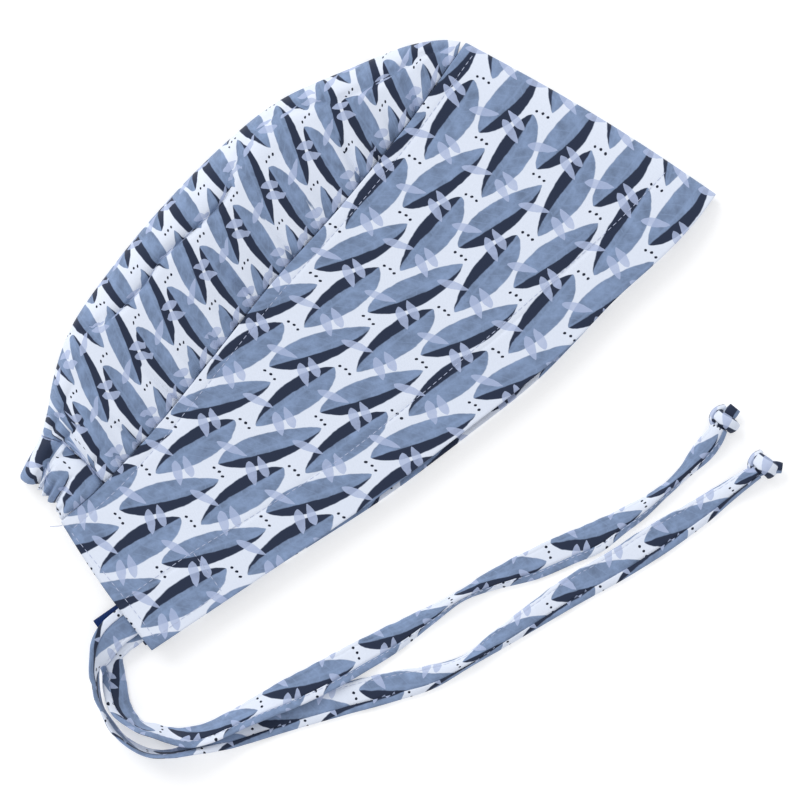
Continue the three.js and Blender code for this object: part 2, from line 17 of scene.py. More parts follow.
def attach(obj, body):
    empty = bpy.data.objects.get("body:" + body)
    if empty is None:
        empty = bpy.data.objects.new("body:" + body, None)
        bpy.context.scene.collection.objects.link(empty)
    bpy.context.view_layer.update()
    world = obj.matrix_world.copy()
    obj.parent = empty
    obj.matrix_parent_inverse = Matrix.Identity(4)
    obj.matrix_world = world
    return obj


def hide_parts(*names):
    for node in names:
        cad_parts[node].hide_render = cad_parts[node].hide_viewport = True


bl_info = {
    "name": "Scrub cap",
    "version": (1, 0, 0),
    "blender": (4, 5, 0),
    "location": "View3D > Sidebar > Scrub cap",
    "description": "Makes a printed cotton scrub cap with gathered crown, casing and ties",
    "category": "Add Mesh",
}

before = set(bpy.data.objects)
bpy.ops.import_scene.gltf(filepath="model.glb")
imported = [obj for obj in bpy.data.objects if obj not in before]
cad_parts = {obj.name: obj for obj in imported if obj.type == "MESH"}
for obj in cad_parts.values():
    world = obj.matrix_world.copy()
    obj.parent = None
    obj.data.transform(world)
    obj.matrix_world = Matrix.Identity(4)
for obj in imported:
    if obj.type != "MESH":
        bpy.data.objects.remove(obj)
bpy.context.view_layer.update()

MM = 0.001
BODY = "root"
COTTON = "printed_cotton"
SATIN = "navy_satin"
FLAT_CLOTH = "flat_cloth"  # UV map: places on the flat cloth, in metres


def table(columns, *rows):
    """Rows of numbers with named columns."""
    return [dict(zip(columns.split(), row)) for row in rows]


# The cap's sizes, and the rim's nape end as it lies from the cap's middle
RIM_END = Vector((-0.13405, -0.06087, 0))
RIM_LENGTH = 0.280
HEM_WIDTH = 0.0215
TIE_WIDTH = 0.0126
BROW_FOLD = {"height": 0.0030, "near_roll": 0.022, "far_roll": 0.003, "bow": 0.0021}
NAPE_BOW = 0.0012
CROWN_START = 0.006
CROWN_FAR_ROLL = 0.006
SHORT_ROW_ROLL = {"near": 0.85, "far": 0.7}  # the most of a short crown row that its rolls take
CASING_FOLD = {"height": 0.0034, "near_roll": 0.009, "far_roll": 0.004}

# How finely the cloth is divided: steps of its level parts and of its rolls on both sides of a fold
BAND_STEPS = {"near": 170, "near_roll": 10, "far_roll": 5, "far": 80}
CROWN_STEPS = {"near": 90, "near_roll": 10, "far_roll": 5, "far": 12}
CASING_STEPS = {"near": 130, "near_roll": 10, "far_roll": 5, "far": 20}
CROWN_ROWS = 390
CASING_ROWS = 48

RIM = table(
    "x near far",
    (0, 0, 0),
    (0.040, -0.0036, -0.0032),
    (0.075, -0.0067, -0.0074),
    (0.108, -0.0090, -0.0108),
    (0.150, -0.0101, -0.0123),
    (0.180, -0.0106, -0.0125),
    (0.203, -0.0095, -0.0100),
    (0.225, -0.0069, -0.0067),
    (0.250, -0.0055, -0.0053),
    (0.268, -0.0029, -0.0028),
    (0.280, 0, 0),
)
SEAM = table(
    "x y",
    (0.0039, 0.0606),
    (0.0260, 0.0615),
    (0.0570, 0.0660),
    (0.0900, 0.0730),
    (0.1254, 0.0808),
    (0.1635, 0.0870),
    (0.2066, 0.0963),
    (0.2416, 0.1064),
)
SEAM_SPAN = SEAM[-1]["x"] - SEAM[0]["x"]
HEIGHT = table(
    "x rim middle seam",
    (0, 0.0090, 0.0092, 0.0090),
    (0.045, 0.0090, 0.0100, 0.0102),
    (0.100, 0.0094, 0.0112, 0.0122),
    (0.160, 0.0098, 0.0120, 0.0134),
    (0.215, 0.0092, 0.0110, 0.0116),
    (0.250, 0.0090, 0.0098, 0.0098),
    (0.280, 0.0090, 0.0094, 0.0094),
)
CROWN_EDGE = table(
    "x y",
    (0.2402, 0.1081),
    (0.2366, 0.1118),
    (0.2244, 0.1191),
    (0.1990, 0.1271),
    (0.1705, 0.1343),
    (0.1432, 0.1344),
    (0.1116, 0.1308),
    (0.0826, 0.1251),
    (0.0542, 0.1168),
    (0.0380, 0.1071),
    (0.0252, 0.0964),
    (0.0186, 0.0916),
)
# Puff of the crown from the brow to the casing
PUFF = table(
    "along peak edge roll",
    (0, 0.0072, 0.0030, 0.004),
    (0.10, 0.0115, 0.0036, 0.009),
    (0.25, 0.0155, 0.0046, 0.013),
    (0.45, 0.0185, 0.0054, 0.015),
    (0.65, 0.0175, 0.0052, 0.014),
    (0.80, 0.0140, 0.0046, 0.012),
    (0.92, 0.0110, 0.0038, 0.009),
    (1.00, 0.0086, 0.0034, 0.005),
)
# The long crease of the crown's near side from the nape to the brow, and the cloth that it hides
CROWN_CREASE = table(
    "x y deep hidden",
    (0.0440, 0.1150, 0, 0),
    (0.0502, 0.1143, 0.0006, 0.001),
    (0.0676, 0.1093, 0.0018, 0.005),
    (0.0864, 0.1109, 0.0022, 0.006),
    (0.0974, 0.1142, 0.0024, 0.007),
    (0.1151, 0.1152, 0.0024, 0.007),
    (0.1321, 0.1174, 0.0022, 0.006),
    (0.1450, 0.1262, 0.0010, 0.003),
    (0.1601, 0.1307, 0.0008, 0.002),
    (0.1660, 0.1296, 0.0010, 0.003),
    (0.1739, 0.1271, 0.0018, 0.005),
    (0.1917, 0.1181, 0.0022, 0.006),
    (0.2112, 0.1138, 0.0020, 0.006),
    (0.2240, 0.1126, 0.0014, 0.004),
    (0.2400, 0.1072, 0.0008, 0.002),
)
CREASE = {"narrow": 0.0011, "wide": 0.006, "step": 0.0007, "sharp": 1.2, "shallow": 0.0008}
# Folds from the crown into the casing
CROWN_FOLDS = table(
    "x1 y1 x2 y2 deep1 deep2 width sharp",
    (0.0380, 0.0850, 0.0210, 0.0842, 0.0006, 0.0024, 0.0016, 1.4),
    (0.0450, 0.0720, 0.0480, 0.0620, 0.0006, 0.0018, 0.0016, 1.4),
    (0.0400, 0.0980, 0.0240, 0.0900, 0.0004, 0.0020, 0.0016, 1.4),
    (0.0370, 0.0740, 0.0268, 0.0690, 0.0004, 0.0018, 0.0014, 1.4),
)
# Tucks where the crown is gathered into the band: place on the seam, reach, lean and depth
TUCKS = table(
    "x reach lean deep",
    (0.2290, 0.008, 0.003, 0.0010),
    (0.2180, 0.012, 0.004, 0.0014),
    (0.2085, 0.020, 0.008, 0.0024),
    (0.1960, 0.012, 0.004, 0.0014),
    (0.1860, 0.018, 0.005, 0.0018),
    (0.1756, 0.026, 0.006, 0.0026),
    (0.1640, 0.012, 0.002, 0.0014),
    (0.1540, 0.020, 0.002, 0.0020),
    (0.1455, 0.012, 0.000, 0.0014),
    (0.1371, 0.024, 0.001, 0.0026),
    (0.1260, 0.014, -0.001, 0.0014),
    (0.1155, 0.024, -0.002, 0.0025),
    (0.1040, 0.013, -0.002, 0.0015),
    (0.0940, 0.022, -0.003, 0.0022),
    (0.0820, 0.014, -0.002, 0.0015),
    (0.0683, 0.025, -0.003, 0.0026),
    (0.0560, 0.014, -0.002, 0.0016),
    (0.0460, 0.018, -0.003, 0.0022),
    (0.0371, 0.016, -0.003, 0.0026),
)
TUCK = {"width": 0.0011, "sharp": 1.2, "hidden": 0.0030, "spread": 0.0034}

# Seam between the crown and the elastic casing, and the casing's free edge, from the band up
CASING_SEAM = table(
    "x y",
    (0.0260, 0.0621),
    (0.0256, 0.0720),
    (0.0242, 0.0800),
    (0.0224, 0.0860),
    (0.0179, 0.0911),
)
CASING_EDGE = table(
    "x y",
    (0.0041, 0.0610),
    (0.0046, 0.0664),
    (0.0044, 0.0706),
    (0.0034, 0.0776),
    (0.0012, 0.0846),
)
CASING_UNDER = {"seam": (0.0262, 0.0598), "edge": (0.0042, 0.0588)}  # where both start under the band
# Folds of the casing's near side, drawn together by the elastic
CASING_FOLDS = table(
    "x1 y1 x2 y2 deep1 deep2 width sharp",
    (0.0244, 0.0850, 0.0175, 0.0826, 0.0020, 0.0050, 0.0012, 1.3),
    (0.0175, 0.0826, 0.0085, 0.0787, 0.0050, 0.0050, 0.0011, 1.3),
    (0.0085, 0.0787, 0.0015, 0.0770, 0.0050, 0.0050, 0.0011, 1.3),
    (0.0150, 0.0790, 0.0020, 0.0740, 0.0008, 0.0034, 0.0010, 1.6),
    (0.0120, 0.0735, 0.0025, 0.0710, 0.0006, 0.0038, 0.0009, 1.6),
    (0.0180, 0.0711, 0.0093, 0.0690, 0.0008, 0.0032, 0.0011, 1.3),
    (0.0093, 0.0690, 0.0030, 0.0668, 0.0032, 0.0044, 0.0011, 1.3),
    (0.0273, 0.0755, 0.0166, 0.0815, 0.0006, 0.0016, 0.0022, 1.5),
    (0.0110, 0.0645, 0.0030, 0.0638, 0.0001, 0.0012, 0.0012, 1.5),
)
CASING_PUFF = {"middle": 0.0018, "edge": 0.0008, "curl": 0.0030, "seam_dip": 0.0028, "seam_roll": 0.0045,
               "band_dip": 0.0032, "band_roll": 0.0036, "round": 0.0012, "hidden": 0.0035, "spread": 0.003,
               "soft": 0.0004, "soft_size": 0.006}
CASING_PRINT = {"u": 0.21, "v": 0.11, "width": 0.030, "stretch": 1.15}  # its place on the flat cloth
CROWN_SEAM = {"under": 0.0025, "dip": 0.0017, "casing_dip": 0.0012, "roll": 0.0050, "bulge": 0.85,
              "far_stop": 0.8, "corner": 6}
# Height above which the crown's gathers and folds show, and over which they grow to full
CROWN_FREE = {"above": 0.004, "over": 0.005}
# Gathers that run out from the crown's seam: how many, how high and how far they reach
GATHERS = {"count": 15, "wander": 0.9, "high": 0.0009, "start": 0.004, "reach": 0.026, "fine": 0.0005,
           "fine_reach": 0.014}
CROWN_PRINT = {"u": 0.004, "wide": 0.315}
# Waves of the pressed band and the crown: height and size
BAND_WAVES = {"slow": (0.00045, 0.055), "quick": (0.0002, 0.022)}
CROWN_WAVES = {"slow": (0.0006, 0.030), "quick": (0.00025, 0.012)}
# Puckers and groove along a line of stitches, and puckers of the gathered seam
PUCKERS = {"high": 0.0003, "groove": 0.00022, "groove_width": 0.0007, "across": 0.3}
SEAM_PUCKERS = {"high": 0.0005, "reach": 0.010, "size": 0.011, "across": 0.4}
TOPSTITCH = {"below": 0.005, "reach": 0.006, "size": 0.006}
HEM_LINE = {"reach": 0.005, "size": 0.0084}
BAND_CALM = 0.03  # the band's waves fade out this close to the brow fold
BAND_TURNS = {"hem": 0.00055, "seam": 0.0004}  # half the depth of the cloth turned in at each edge
TURNED_IN = 0.0008  # the hem's cloth that lies deeper than this is turned in
# How the band's print leans along the cloth from the nape over the brow, in degrees
BAND_LEAN = table("u angle", (0, -8), (0.14, -8), (0.20, 0), (0.27, 14), (0.30, 14), (0.56, -8))

# Routes of the ties; roll turns the flat section about its route, and a positive one lifts its left
NEAR_TIE = table(
    "x y z roll width",
    (0.014, 0.0136, 0.00595, 0, 0.0126),
    (0.006, 0.0142, 0.00595, 0, 0.0126),
    (-0.002, 0.0146, 0.00595, 0, 0.0126),
    (-0.009, 0.0142, 0.0073, -14, 0.0126),
    (-0.0152, 0.0119, 0.0096, -40, 0.0124),
    (-0.0198, 0.0089, 0.0112, -64, 0.0124),
    (-0.0236, 0.0052, 0.0094, -80, 0.0124),
    (-0.0282, -0.0024, 0.0073, -85, 0.0124),
    (-0.0305, -0.012, 0.0065, -85, 0.0124),
    (-0.0299, -0.0214, 0.0065, -84, 0.0124),
    (-0.0264, -0.0294, 0.0065, -84, 0.0124),
    (-0.0204, -0.035, 0.0063, -80, 0.0122),
    (-0.0142, -0.0384, 0.0058, -66, 0.0112),
    (-0.0074, -0.0408, 0.0044, -42, 0.01),
    (0.0026, -0.0446, 0.0022, -14, 0.0108),
    (0.011, -0.0475, 0.0011, -3, 0.012),
    (0.025, -0.0529, 0.00085, 0, 0.0124),
    (0.0439, -0.0609, 0.00085, 0, 0.0124),
    (0.0603, -0.0683, 0.00085, 0, 0.012),
    (0.0761, -0.0756, 0.0009, 0, 0.0097),
    (0.092, -0.08, 0.0011, 0, 0.0056),
    (0.106, -0.0812, 0.0009, 0, 0.0078),
    (0.122, -0.0826, 0.00085, 0, 0.0098),
    (0.14, -0.0843, 0.00085, 0, 0.0118),
    (0.1598, -0.0875, 0.00085, 0, 0.0124),
    (0.1798, -0.0898, 0.00085, 0, 0.0126),
    (0.198, -0.0917, 0.0009, 0, 0.0105),
    (0.2114, -0.0923, 0.0016, 0, 0.0082),
    (0.2204, -0.0928, 0.0034, 0, 0.0068),
    (0.2248, -0.093, 0.004, 0, 0.0064),
)
FAR_TIE = table(
    "x y z roll width",
    (0.014, 0.0104, 0.00415, 0, 0.0126),
    (0.006, 0.0106, 0.00415, 0, 0.0126),
    (-0.002, 0.0106, 0.00415, 0, 0.012),
    (-0.0085, 0.0102, 0.0042, 0, 0.0105),
    (-0.0144, 0.008, 0.0035, -2, 0.0096),
    (-0.0176, 0.0024, 0.0022, -12, 0.0093),
    (-0.021, -0.003, 0.0039, -34, 0.011),
    (-0.0236, -0.0094, 0.0057, -56, 0.0124),
    (-0.0235, -0.0152, 0.0064, -70, 0.0126),
    (-0.022, -0.0206, 0.0066, -78, 0.0126),
    (-0.0186, -0.0252, 0.0063, -70, 0.0126),
    (-0.0156, -0.0298, 0.006, -62, 0.0124),
    (-0.0102, -0.0352, 0.0055, -52, 0.012),
    (-0.0026, -0.0388, 0.005, -48, 0.0108),
    (0.0055, -0.0409, 0.0046, -46, 0.0106),
    (0.016, -0.0432, 0.0039, -34, 0.011),
    (0.032, -0.047, 0.0027, -12, 0.0122),
    (0.047, -0.0503, 0.0024, -8, 0.0126),
    (0.0603, -0.0526, 0.0016, -4, 0.0124),
    (0.075, -0.0552, 0.00095, 0, 0.0108),
    (0.09, -0.0571, 0.0009, 0, 0.0073),
    (0.106, -0.0589, 0.0011, 0, 0.0048),
    (0.12, -0.0622, 0.0009, 0, 0.0083),
    (0.1352, -0.0671, 0.00085, 0, 0.012),
    (0.15, -0.071, 0.00085, 0, 0.0126),
    (0.16, -0.074, 0.00085, 0, 0.0122),
    (0.17, -0.0752, 0.00085, 0, 0.0098),
    (0.18, -0.0763, 0.0009, 0, 0.0081),
    (0.192, -0.0767, 0.0011, 0, 0.0052),
    (0.204, -0.0758, 0.0009, 0, 0.0058),
    (0.2132, -0.0742, 0.0016, 0, 0.0088),
    (0.2202, -0.0725, 0.0032, 0, 0.0082),
    (0.2244, -0.0709, 0.0039, 0, 0.0068),
)
TIES = (("near", NEAR_TIE, 0.73), ("far", FAR_TIE, -0.58))  # with the place of the stitches across the face
TIE_STEP = 0.0008
TIE_WAVES = {"lying": 1.6, "standing": 9.0, "size": 0.013, "edge": 0.00020}  # degrees, and metres
TIE_PRINTS = ((0.0260, 0.0010), (0.0365, 0.0242))
TIE_START = {"at": 0.020, "over": 0.010}  # where a tie comes free of the band and starts to wave
TIE_PUCKER = {"size": 0.0045, "aside": 0.00018, "width": 0.0003, "trim": 0.0002}
TIE_EDGE_WAVE = 0.0055
NARROW_ARCH = 0.0045  # rise of a tie's middle where it is drawn narrow
KNOT_ARCH = 0.0005
SHARP_FOLD = 0.0005  # half width of a fold that the cloth disappears into
# Section of a tie's upper face from one edge to the other; the folded hem stands out on one side
TIE_SECTION = table(
    "across rise",
    (-1, 0),
    (-0.97, 0.00020),
    (-0.88, 0.00026),
    (-0.72, 0.00024),
    (-0.58, 0.00028),
    (-0.52, 0.00026),
    (-0.495, -0.00026),
    (-0.46, -0.00004),
    (-0.3, 0),
    (0, 0),
    (0.3, 0),
    (0.55, 0),
    (0.68, -0.00002),
    (0.73, -0.00020),
    (0.78, -0.00002),
    (0.88, 0),
    (0.97, 0),
    (1, 0),
)
HEM_EDGE = -0.50
HEM_PRINT = 0.0185  # how far from the face the cloth of the folded hem was printed
# Both knots, and their tubes from the knot's middle: the cloth through it, the turn over it and
# the loop beside it
KNOTS = {
    "near": {"x": 0.2280, "y": -0.0931},
    "far": {"x": 0.2273, "y": -0.0703},
}
KNOT_TUBES = {
    "near": {
        "through": table(
            "x y z width thick",
            (-0.0056, 0.0008, 0.0036, 0.0062, 0.0016),
            (-0.0024, 0.0002, 0.0032, 0.0056, 0.0028),
            (0.0014, -0.0016, 0.0032, 0.0052, 0.0034),
            (0.0040, -0.0038, 0.0036, 0.0048, 0.0030),
            (0.0052, -0.0051, 0.0036, 0.0042, 0.0020),
        ),
        "turn": table(
            "x y z width thick",
            (0.0004, 0.0030, 0.0006, 0.0046, 0.0012),
            (0.0002, 0.0044, 0.0020, 0.0050, 0.0014),
            (0.0001, 0.0038, 0.0044, 0.0054, 0.0014),
            (0.0004, 0.0018, 0.0060, 0.0060, 0.0014),
            (0.0008, -0.0006, 0.0064, 0.0064, 0.0014),
            (0.0012, -0.0030, 0.0054, 0.0064, 0.0014),
            (0.0010, -0.0045, 0.0032, 0.0056, 0.0014),
            (0.0008, -0.0042, 0.0010, 0.0048, 0.0012),
        ),
        "loop": table(
            "x y z width thick",
            (0.0026, 0.0044, 0.0018, 0.0024, 0.0020),
            (0.0002, 0.0050, 0.0034, 0.0026, 0.0022),
            (-0.0022, 0.0044, 0.0040, 0.0027, 0.0022),
            (-0.0040, 0.0027, 0.0036, 0.0026, 0.0022),
            (-0.0044, 0.0008, 0.0024, 0.0024, 0.0020),
            (-0.0032, -0.0008, 0.0014, 0.0022, 0.0018),
        ),
    },
    "far": {
        "through": table(
            "x y z width thick",
            (-0.0056, -0.0008, 0.0034, 0.0066, 0.0016),
            (-0.0026, -0.0003, 0.0032, 0.0058, 0.0028),
            (0.0010, 0.0004, 0.0030, 0.0052, 0.0034),
            (0.0042, 0.0011, 0.0036, 0.0054, 0.0030),
            (0.0066, 0.0016, 0.0038, 0.0048, 0.0020),
        ),
        "turn": table(
            "x y z width thick",
            (-0.0004, 0.0032, 0.0006, 0.0040, 0.0012),
            (-0.0006, 0.0046, 0.0020, 0.0042, 0.0014),
            (-0.0005, 0.0040, 0.0044, 0.0044, 0.0014),
            (-0.0002, 0.0021, 0.0060, 0.0047, 0.0014),
            (0.0004, -0.0003, 0.0063, 0.0050, 0.0014),
            (0.0009, -0.0027, 0.0054, 0.0054, 0.0014),
            (0.0012, -0.0044, 0.0032, 0.0052, 0.0014),
            (0.0011, -0.0042, 0.0010, 0.0046, 0.0012),
        ),
        "loop": table(
            "x y z width thick",
            (0.0034, 0.0042, 0.0020, 0.0024, 0.0020),
            (0.0008, 0.0051, 0.0032, 0.0026, 0.0022),
            (-0.0016, 0.0049, 0.0038, 0.0027, 0.0022),
            (-0.0034, 0.0034, 0.0036, 0.0026, 0.0022),
            (-0.0038, 0.0015, 0.0028, 0.0024, 0.0020),
            (-0.0028, 0.0000, 0.0014, 0.0022, 0.0018),
        ),
    },
}
KNOT_HUBS = {"through": -0.1, "turn": 0.0024, "loop": -0.006}  # heights that the tubes' faces turn from
KNOT_PRINTS = {"through": (0.0140, 0.0171), "turn": (0.0010, 0.0181), "loop": (0.0255, 0.0217)}
KNOT_CLOTH = 0.006  # width of the cloth that shows round a knot's tube
KNOT_FLOOR = 0.0001  # a knot's cloth is flattened on the table this far up
TAB = {"x": -0.0034, "y": 0.0171, "z": 0.0031, "length": 0.016, "width": 0.011, "turn": -4,
       "thick": 0.0007, "thick_end": 0.0003, "end": 0.06, "wave": 0.00012, "waves": 9}

# The folded end of the far side's hem: its route out beside the ties, its section and its print
HEM_END = [(0.0040, 0.0042, 0.0026), (0.0010, 0.0043, 0.0024), (-0.0013, 0.0045, 0.0021)]
HEM_END_SIZE = {"width": 0.0032, "thick": 0.0011, "u": (0.008, 0.012)}
# The thread, and the route of its loose end at the nape
LOOSE_THREAD = [(0.0050, 0.0590, 0.0080), (0.0030, 0.0594, 0.0086), (0.0010, 0.0606, 0.0080),
                (-0.0007, 0.0618, 0.0066)]
THREAD = {"thick": 0.00029, "flat": 0.36, "proud": 0.00004, "loose": 0.00028}
CAP_STITCH = (0.12, 0.88)  # the shares of its spacing at which a stitch starts and ends
TIE_STITCH = (0.15, 0.85)
FIRST_TIE_STITCH = 7  # those before it are hidden in the band

# Lines of stitches on the cap, seen from above
STITCH_LINES = {
    "topstitch": [(0.2404, 0.1008), (0.2066, 0.0913), (0.1635, 0.0820), (0.1254, 0.0758), (0.0900, 0.0680),
                  (0.0570, 0.0610), (0.0300, 0.0567), (0.0060, 0.0556)],
    "hem_stitch": [(0.2700, 0.0190), (0.2450, 0.0160), (0.1804, 0.0127), (0.1400, 0.0115), (0.1042, 0.0118),
                   (0.0687, 0.0152), (0.0362, 0.0196), (0.0229, 0.0207), (0.0045, 0.0220)],
    "box_stitch": [(0.0362, 0.0196), (0.0353, 0.0009), (0.0048, 0.0031)],
    "end_stitch": [(0.0045, 0.0552), (0.0045, 0.0207), (0.0040, 0.0034)],
    "casing_stitch": [(0.0262, 0.0640), (0.0260, 0.0720), (0.0246, 0.0790), (0.0232, 0.0840)],
}

# Where the camera looks, straight down, and how the picture is turned about that line of sight
CAMERA = {"x": 0.00085, "y": -0.04587, "turn": -38.93, "wide": 0.310, "lens": 0.150, "sensor": 0.036}
LIGHT = {"left": 0.5, "up": 0.66, "high": 0.6, "angle": 34, "energy": 1.35}
FLOOR = {"half": 2.0, "below": 0.0002}
SKY = {"colour": "#FBFCFF", "strength": 0.80}


class ScrubCapSizes(bpy.types.PropertyGroup):
    """Sizes that a maker would change."""

    cloth: FloatProperty(name="Cloth", description="Thickness of the cotton", default=0.0005, min=0.0002,
                         max=0.001, subtype="DISTANCE", unit="LENGTH")
    tie: FloatProperty(name="Tie", description="Thickness of a folded and sewn tie", default=0.0011,
                       min=0.0008, max=0.003, subtype="DISTANCE", unit="LENGTH")
    weave: FloatProperty(name="Weave", description="Spacing of the weave's threads", default=0.0007,
                         min=0.0002, max=0.002, subtype="DISTANCE", unit="LENGTH")
    stitch: FloatProperty(name="Stitch", description="Length of one stitch with its gap", default=0.0027,
                          min=0.0015, max=0.005, subtype="DISTANCE", unit="LENGTH")


def linear(colour):
    """An sRGB hex colour as linear red, green, blue and a full alpha."""
    parts = [int(colour[i:i + 2], 16) / 255 for i in (1, 3, 5)]
    return [c / 12.92 if c <= 0.04045 else ((c + 0.055) / 1.055) ** 2.4 for c in parts] + [1.0]


def colour_property(name, description, colour):
    """A colour that a maker would change, from its sRGB hex value."""
    return FloatVectorProperty(name=name, description=description, default=linear(colour), size=4, min=0,
                               max=1, subtype="COLOR")


class ScrubCapColours(bpy.types.PropertyGroup):
    """Colours of the cloth, the thread and the tab."""

    ground: colour_property("Ground", "Pale ground of the print", "#DDE4F1")
    leaf: colour_property("Leaf", "Body of a leaf", "#788BAA")
    shade: colour_property("Shade", "Dark side of a leaf", "#242E44")
    leaflet: colour_property("Leaflet", "Small leaves between", "#ABB8D7")
    seed: colour_property("Seed", "Small dots", "#1A2133")
    thread: colour_property("Thread", "Sewing thread", "#B6BFD8")
    tab: colour_property("Tab", "Side tab", "#08285C")


# Cloth printing: the materials

def set_inputs(tree, node, inputs):
    """Put values or links on a node's inputs."""
    for socket, value in inputs.items():
        if isinstance(value, bpy.types.NodeSocket):
            tree.links.new(value, node.inputs[socket])
        else:
            node.inputs[socket].default_value = value


def add_node(tree, kind, inputs=None, **settings):
    """Outputs of a new shader node with its settings, and with values or links on its inputs."""
    node = tree.nodes.new("ShaderNode" + kind)
    for name, value in settings.items():
        setattr(node, name, value)
    set_inputs(tree, node, inputs or {})
    return node.outputs


def compute(tree, operation, *values, **settings):
    """The result of one step of arithmetic."""
    return add_node(tree, "Math", dict(enumerate(values)), operation=operation, **settings)[0]


def compute_vector(tree, operation, *values):
    """The result of one step of arithmetic on vectors."""
    return add_node(tree, "VectorMath", dict(enumerate(values)), operation=operation)[0]


def spread_range(tree, value, start, end, low=0.0, high=1.0):
    """A value between a start and an end, spread from low to high."""
    return add_node(tree, "MapRange", {"Value": value, "From Min": start, "From Max": end,
                                       "To Min": low, "To Max": high})[0]


def tint(tree, colour, tone):
    """A colour made darker or lighter by a tone."""
    return add_node(tree, "VectorMath", {0: colour, "Scale": tone}, operation="SCALE")[0]


def material_of(name, dress):
    """The material of a name, dressed when it is first asked for."""
    material = bpy.data.materials.get(name)
    if material is None:
        material = bpy.data.materials.new(name)
        material.use_nodes = True
        tree = material.node_tree
        set_inputs(tree, tree.nodes["Principled BSDF"], dress(tree))
    return material


WAVE_PERIOD = 0.314  # of a wave texture whose scale is 1
CELL_MIDDLE = (0.5, 0.5, 0.5)
# A leaf in shares of its half sizes: its soft edge, its dark side, and its midrib and veins
LEAF = {"edge": 0.06, "round": 0.7, "shade_lean": 0.3, "shade_start": -0.31, "rib": (0.1, 0.04),
        "veins": 4.0, "vein_lean": -0.9, "vein": (0.07, 0.02)}


def leaf_group():
    """One lattice of leaves on the flat cloth, as a node group."""
    found = bpy.data.node_groups.get("leaf_lattice")
    if found:
        return found
    tree = bpy.data.node_groups.new("leaf_lattice", "ShaderNodeTree")
    for name in ("Cloth", "Period", "Offset", "Half size", "Turn"):
        tree.interface.new_socket(name, in_out="INPUT", socket_type="NodeSocketVector")
    tree.interface.new_socket("Taper", in_out="INPUT", socket_type="NodeSocketFloat")
    for name in ("Leaf", "Shade", "Veins"):
        tree.interface.new_socket(name, in_out="OUTPUT", socket_type="NodeSocketFloat")
    given = tree.nodes.new("NodeGroupInput").outputs
    # From the flat cloth to one cell of the lattice, and from there to the leaf's own axes
    cell = add_node(tree, "Mapping", {"Vector": given["Cloth"], "Location": given["Offset"],
                                      "Scale": given["Period"]}, vector_type="TEXTURE")[0]
    cell = compute_vector(tree, "FRACTION", cell)
    cell = compute_vector(tree, "SUBTRACT", cell, CELL_MIDDLE)
    cell = compute_vector(tree, "MULTIPLY", cell, given["Period"])
    own = add_node(tree, "Mapping", {"Vector": cell, "Rotation": given["Turn"],
                                     "Scale": given["Half size"]}, vector_type="TEXTURE")[0]
    axes = add_node(tree, "SeparateXYZ", {0: own})
    along, across = axes[0], axes[1]
    # Outline of a leaf: widest before its middle and pointed at both ends
    full = compute(tree, "SUBTRACT", 1.0, compute(tree, "MULTIPLY", along, along), use_clamp=True)
    taper = compute(tree, "MULTIPLY_ADD", along, given["Taper"], 1.0)
    width = compute(tree, "MULTIPLY", compute(tree, "POWER", full, LEAF["round"]), taper)
    aside = compute(tree, "ABSOLUTE", across)
    leaf = spread_range(tree, compute(tree, "SUBTRACT", width, aside), 0.0, LEAF["edge"])
    # The dark side, along one edge and broader towards the tip
    share = compute(tree, "MULTIPLY_ADD", along, LEAF["shade_lean"], LEAF["shade_start"])
    dark = spread_range(tree, compute(tree, "MULTIPLY_ADD", width, share, across), 0.0, LEAF["edge"])
    dark = compute(tree, "MULTIPLY", dark, leaf)
    # The midrib, and side veins that lean towards the tip
    rib = spread_range(tree, aside, *LEAF["rib"])
    slant = compute(tree, "MULTIPLY_ADD", along, LEAF["veins"], 0.0)
    slant = compute(tree, "MULTIPLY_ADD", aside, LEAF["vein_lean"], slant)
    side = spread_range(tree, compute(tree, "PINGPONG", slant, 0.5), *LEAF["vein"])
    veins = compute(tree, "MULTIPLY", compute(tree, "MAXIMUM", rib, side), leaf)
    set_inputs(tree, tree.nodes.new("NodeGroupOutput"), {"Leaf": leaf, "Shade": dark, "Veins": veins})
    return tree


# Lattices of the print on the flat cloth: leaves and the small leaves between them
PERIOD = (0.042, 0.0262, 1)
LEAVES = table(
    "x y long wide turn taper",
    (0.0000, 0.0000, 0.0192, 0.0065, 9, 0.2),
    (0.0210, 0.0131, 0.0192, 0.0065, 171, 0.2),
)
LEAFLETS = table(
    "x y long wide turn taper",
    (0.0088, 0.0066, 0.0056, 0.0017, 64, 0.3),
    (0.0298, 0.0197, 0.0056, 0.0017, 64, 0.3),
    (0.0136, 0.0072, 0.0050, 0.0016, 70, -0.3),
    (0.0346, 0.0203, 0.0050, 0.0016, 70, -0.3),
    (0.0310, 0.0060, 0.0058, 0.0017, 112, 0.3),
    (0.0100, 0.0191, 0.0058, 0.0017, 112, 0.3),
)
SEEDS = table(
    "x y long wide turn taper",
    (0.0208, -0.0024, 0.0006, 0.0006, 0, 0),
    (0.0212, 0.0000, 0.0006, 0.0006, 0, 0),
    (0.0208, 0.0024, 0.0006, 0.0006, 0, 0),
    (-0.0002, 0.0107, 0.0006, 0.0006, 0, 0),
    (0.0002, 0.0131, 0.0006, 0.0006, 0, 0),
    (-0.0002, 0.0155, 0.0006, 0.0006, 0, 0),
)


# The ink: how far its edge wanders, and its thin and thick pools
INK = {"wander": 0.0009, "wander_scale": 260.0, "pool_scale": 150.0, "pool_detail": 4.0,
       "pool_rough": 0.65, "vein": 0.35, "vein_light": 1.3, "leaflet_pool": -0.45, "leaflet": 1.25,
       "wrong_side": 0.55}


